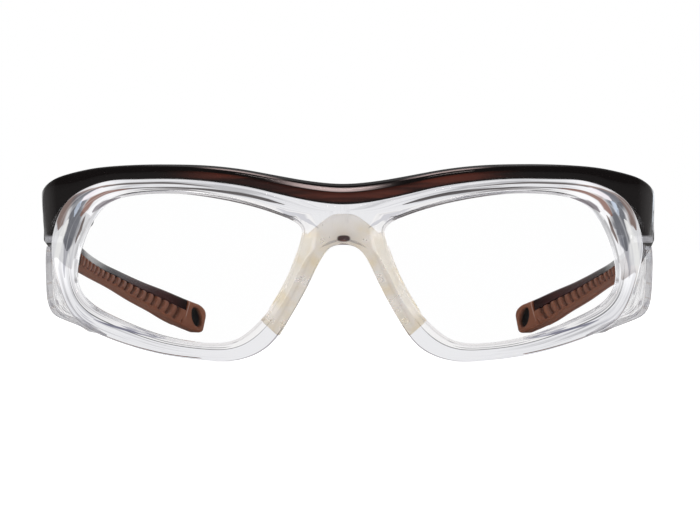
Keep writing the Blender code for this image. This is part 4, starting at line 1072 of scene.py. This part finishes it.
# The grip: a pad in the arm's recess whose inner face has curved grooves, then a full round tip
# with an oval window pushed into its inner face
def gripSolid():
    padEnd = tipFrom + 0.3
    places = np.concatenate([np.linspace(gripFrom + 0.3, padEnd, grip["padSteps"]),
                             np.linspace(padEnd + 0.01, templeLong, grip["tipSteps"])])
    pitch = (tipFrom - gripFrom) / (grip["ribs"] + 0.5)
    windowAt = tipFrom + grip["windowPlace"] * grip["tip"]
    sections, grooves, windows, seamHighlights = [], [], [], []
    for place, (*_, high, thick) in zip(places, readPath(places)):
        face, left = thick + grip["proud"], templeLong - place
        onPad = place <= padEnd
        top, outer, rounds = high, 0, grip["tipRounds"]
        if onPad:
            top, outer = high * grip["share"] - grip["gap"], grip["wall"] + grip["gap"]
            rounds = grip["padRounds"]
        ring = roundedChain([(outer, top / 2), (outer, top, rounds[0]), (face, top, rounds[1]),
                             (face, 0, rounds[2]), (outer, 0, rounds[3]), (outer, top / 2)], 9)
        ring = evenRing(ring[:-1], grip["around"])
        up = ring[:, 1] / top
        onFace = np.clip((ring[:, 0] - (face - grip["faceDeep"])) / grip["faceRun"], 0, 1)
        groove, window = 0 * up, 0 * up
        if onPad:
            curve = grip["ribCurve"] * (grip["ribBend"] * (1 - up)) ** 2
            reach = np.clip((up - grip["ribLow"]) / grip["ribRun"], 0, 1)
            ends = (np.clip((tipFrom - place - grip["ribLast"]) / grip["ribFade"], 0, 1)
                    * np.clip((place - gripFrom - grip["ribFirst"]) / grip["ribFade"], 0, 1))
            groove = grooveShape((place - gripFrom + curve) / pitch) * reach * onFace * ends
            ring[:, 0] -= grip["ribDeep"] * groove
        else:
            above = ring[:, 1] - high / 2
            ahead = place - windowAt + grip["windowLean"] * above
            oval = 2 * np.hypot(ahead / grip["windowWide"], above / grip["windowHigh"])
            window = np.clip((1 + grip["windowOver"] - oval) / grip["windowWall"], 0, 1) * onFace
            ring[:, 0] -= grip["windowDeep"] * window
            bend = 1 - min(left / grip["tipRound"], 1)
            size = grip["endShare"] + (1 - grip["endShare"]) * math.sqrt(1 - bend ** 2)
            middle = np.array([thick / 2, high / 2])
            ring = middle + (ring - middle) * size
            ring[:, 1] *= 1 - grip["tipSlope"] * (1 - min(left / grip["tipSlopeRun"], 1)) ** 2
        sections.append(ring)
        grooves.append(groove)
        windows.append(window)
        # A painted highlight line along the tip's front edge
        lip = np.exp(-((place - tipFrom - grip["lipSlant"] * up) / grip["lipWide"]) ** 2)
        seamHighlights.append(lip * onFace * (up > grip["lipLow"]))
    solid = tube(standUp(places, np.array(sections)))
    return solid, {"groove": tubeMark(grooves), "window": tubeMark(windows), "lip": tubeMark(seamHighlights)}


bodies = ("left_temple", "right_temple")
blade, bladeMarks = armSolid()
boss = bossSolid()
armMarks = {name: np.append(values, np.zeros(len(boss[0]))) for name, values in bladeMarks.items()}
addPair("TempleArm", joined(blade, boss), armPlastic, bodies, "temple_arm", armMarks)
gripPiece, gripMarks = gripSolid()
addPair("TempleGrip", gripPiece, gripRubber, bodies, "temple_grip", gripMarks)
print("temples made")


# Hinges, which keep their CAD shape

for name, node in frame["nodes"].items():
    if "leaf" in name or "screw" in name:
        node.data.materials.clear()
        node.data.materials.append(hingeSteel)
print("hinges finished")


# Room, lamps and camera

# The floor's half side and height in metres, how bright it looks, how bright it is when mirrored,
# and how bright the room is
room = {"floor": 3.0, "floorLow": -0.0002, "floorLift": 0.66, "floorMirror": 0.35, "ambient": 0.42}


def grey(value):
    return (value,) * 3


# What shiny faces mirror, from the camera's side to the far side
mirrorStops = ((0.0, grey(0.04)), (0.50, grey(0.05)), (0.72, grey(0.16)), (0.90, grey(0.9)),
               (1.0, grey(1.0)))
# What is seen through the clear plastic: first round the room, then from below to above
panelStops = ((0.0, grey(1.0)), (0.48, grey(1.0)), (0.56, (0.35, 0.35, 0.38)),
              (0.68, (0.10, 0.10, 0.12)), (0.78, (0.45, 0.44, 0.47)), (0.88, grey(1.0)))
bandStops = ((0.0, grey(0.8)), (0.16, (0.55, 0.55, 0.6)), (0.24, grey(0.12)), (0.32, grey(0.6)),
             (0.38, grey(1.0)), (0.60, grey(1.0)), (0.68, (0.5, 0.5, 0.54)),
             (0.76, (0.10, 0.09, 0.11)), (0.84, grey(0.7)), (1.0, grey(1.0)))


# What rays bent by the clear plastic meet: white round the horizon, with dark panels part of the
# way round and dark bands above and below, which draw the lines along the rims
def seenThrough(sheet, direction):
    x, y, z = (sheet.node("ShaderNodeSeparateXYZ", inputs={0: direction}, output=k)
               for k in range(3))
    turn = x.math("ABSOLUTE").math("ARCTAN2", y.math("ABSOLUTE")) * (180 / math.pi)
    rise = z.math("ARCSINE") * (180 / math.pi)
    panel = sheet.ramp(turn / 90, panelStops)
    return sheet.mix(1.0, panel, sheet.ramp(rise / 180 + 0.5, bandStops), "MULTIPLY")


# White to the camera, and panels of light for what is mirrored or seen through the clear plastic
def buildWorld():
    world = bpy.data.worlds.new("room")
    bpy.context.scene.world = world
    sheet = Sheet(world)
    camera, glossy, through = sheet.rays("Camera", "Glossy", "Transmission")
    direction = sheet.node("ShaderNodeTexCoord", output="Generated")
    back = sheet.node("ShaderNodeSeparateXYZ", inputs={0: direction}, output=1)
    mirror = sheet.ramp(back * 0.5 + 0.5, mirrorStops)
    colour = sheet.mix(glossy, grey(room["ambient"]), mirror)
    colour = sheet.mix(through, colour, seenThrough(sheet, direction))
    colour = sheet.mix(camera, colour, grey(1.0))
    sheet.feed(sheet.tree.nodes["Background"], {"Color": colour})


# White to the camera and to rays that come through the clear plastic, and dimmer in mirrored light
def buildFloor():
    half, low = room["floor"], room["floorLow"]
    mesh = bpy.data.meshes.new("floor")
    mesh.from_pydata([(-half, -half, low), (half, -half, low), (half, half, low), (-half, half, low)],
                     [], [(0, 1, 2, 3)])
    floor = bpy.data.objects.new("floor", mesh)
    bpy.context.scene.collection.objects.link(floor)
    material = bpy.data.materials.new("paleFloor")
    sheet = Sheet(material)
    camera, glossy, through = sheet.rays("Camera", "Glossy", "Transmission")
    shader = sheet.tree.nodes["Principled BSDF"]
    sheet.feed(shader, {
        "Roughness": 1.0, "Specular IOR Level": 0.0,
        "Base Color": sheet.mix(glossy, grey(0.9), grey(room["floorMirror"])),
        "Emission Color": (1, 1, 1, 1), "Emission Strength": camera * room["floorLift"]})
    glow = sheet.node("ShaderNodeEmission", inputs={"Color": (1, 1, 1, 1), "Strength": 1.0})
    mixed = sheet.node("ShaderNodeMixShader", inputs={
        0: through, 1: Wire(sheet, shader.outputs[0]), 2: glow})
    sheet.feed(sheet.tree.nodes["Material Output"], {"Surface": mixed})
    mesh.materials.append(material)


# Puts a lamp or the camera in its place and turns it to its target
def aim(thing, place, target):
    bpy.context.scene.collection.objects.link(thing)
    thing.location = place
    thing.rotation_euler = Vector(np.subtract(target, place)).to_track_quat("-Z", "Y").to_euler()


# Lamps, in metres and watts: size, power, place, target and colour
streakTarget, streakColour = (0, -0.07, 0.043), (1.0, 0.86, 0.84)
lamps = {
    "topLamp": ((0.9, 0.9), 3.0, (0.0, 0.1, 0.9), (0, 0, 0), (1, 1, 1)),
    "middleStreak": ((0.20, 0.05), 0.18, (0.0, -0.62, 0.205), streakTarget, streakColour),
    "leftStreak": ((0.14, 0.03), 0.12, (-0.23, -0.61, 0.25), streakTarget, streakColour),
    "rightStreak": ((0.14, 0.03), 0.12, (0.25, -0.61, 0.25), streakTarget, streakColour),
    "rightBox": ((0.30, 0.30), 0.35, (0.50, 0.70, 0.06), (0.07, -0.05, 0.03), (0.85, 0.92, 1.0)),
}


def addLamps():
    for name, (size, power, place, target, colour) in lamps.items():
        data = bpy.data.lights.new(name, "AREA")
        data.shape = "ELLIPSE"
        data.size, data.size_y = size
        data.energy = power
        data.color = colour
        aim(bpy.data.objects.new(name, data), place, target)


view = {"place": (20.1, -600.0, 30.4), "target": (1.61, 0.0, 23.1), "lens": 132.7, "sensor": 36}


def addCamera():
    data = bpy.data.cameras.new("camera")
    data.lens, data.sensor_width = view["lens"], view["sensor"]
    data.clip_start = 0.05
    camera = bpy.data.objects.new("camera", data)
    aim(camera, np.array(view["place"]) * mm + origin, np.array(view["target"]) * mm + origin)
    bpy.context.scene.camera = camera


buildWorld()
buildFloor()
addLamps()
addCamera()
scene = bpy.context.scene
scene.view_settings.view_transform = "Standard"
scene.cycles.max_bounces = 24
scene.cycles.transmission_bounces = 24
scene.cycles.glossy_bounces = 12
scene.cycles.transparent_max_bounces = 16
print("room made")
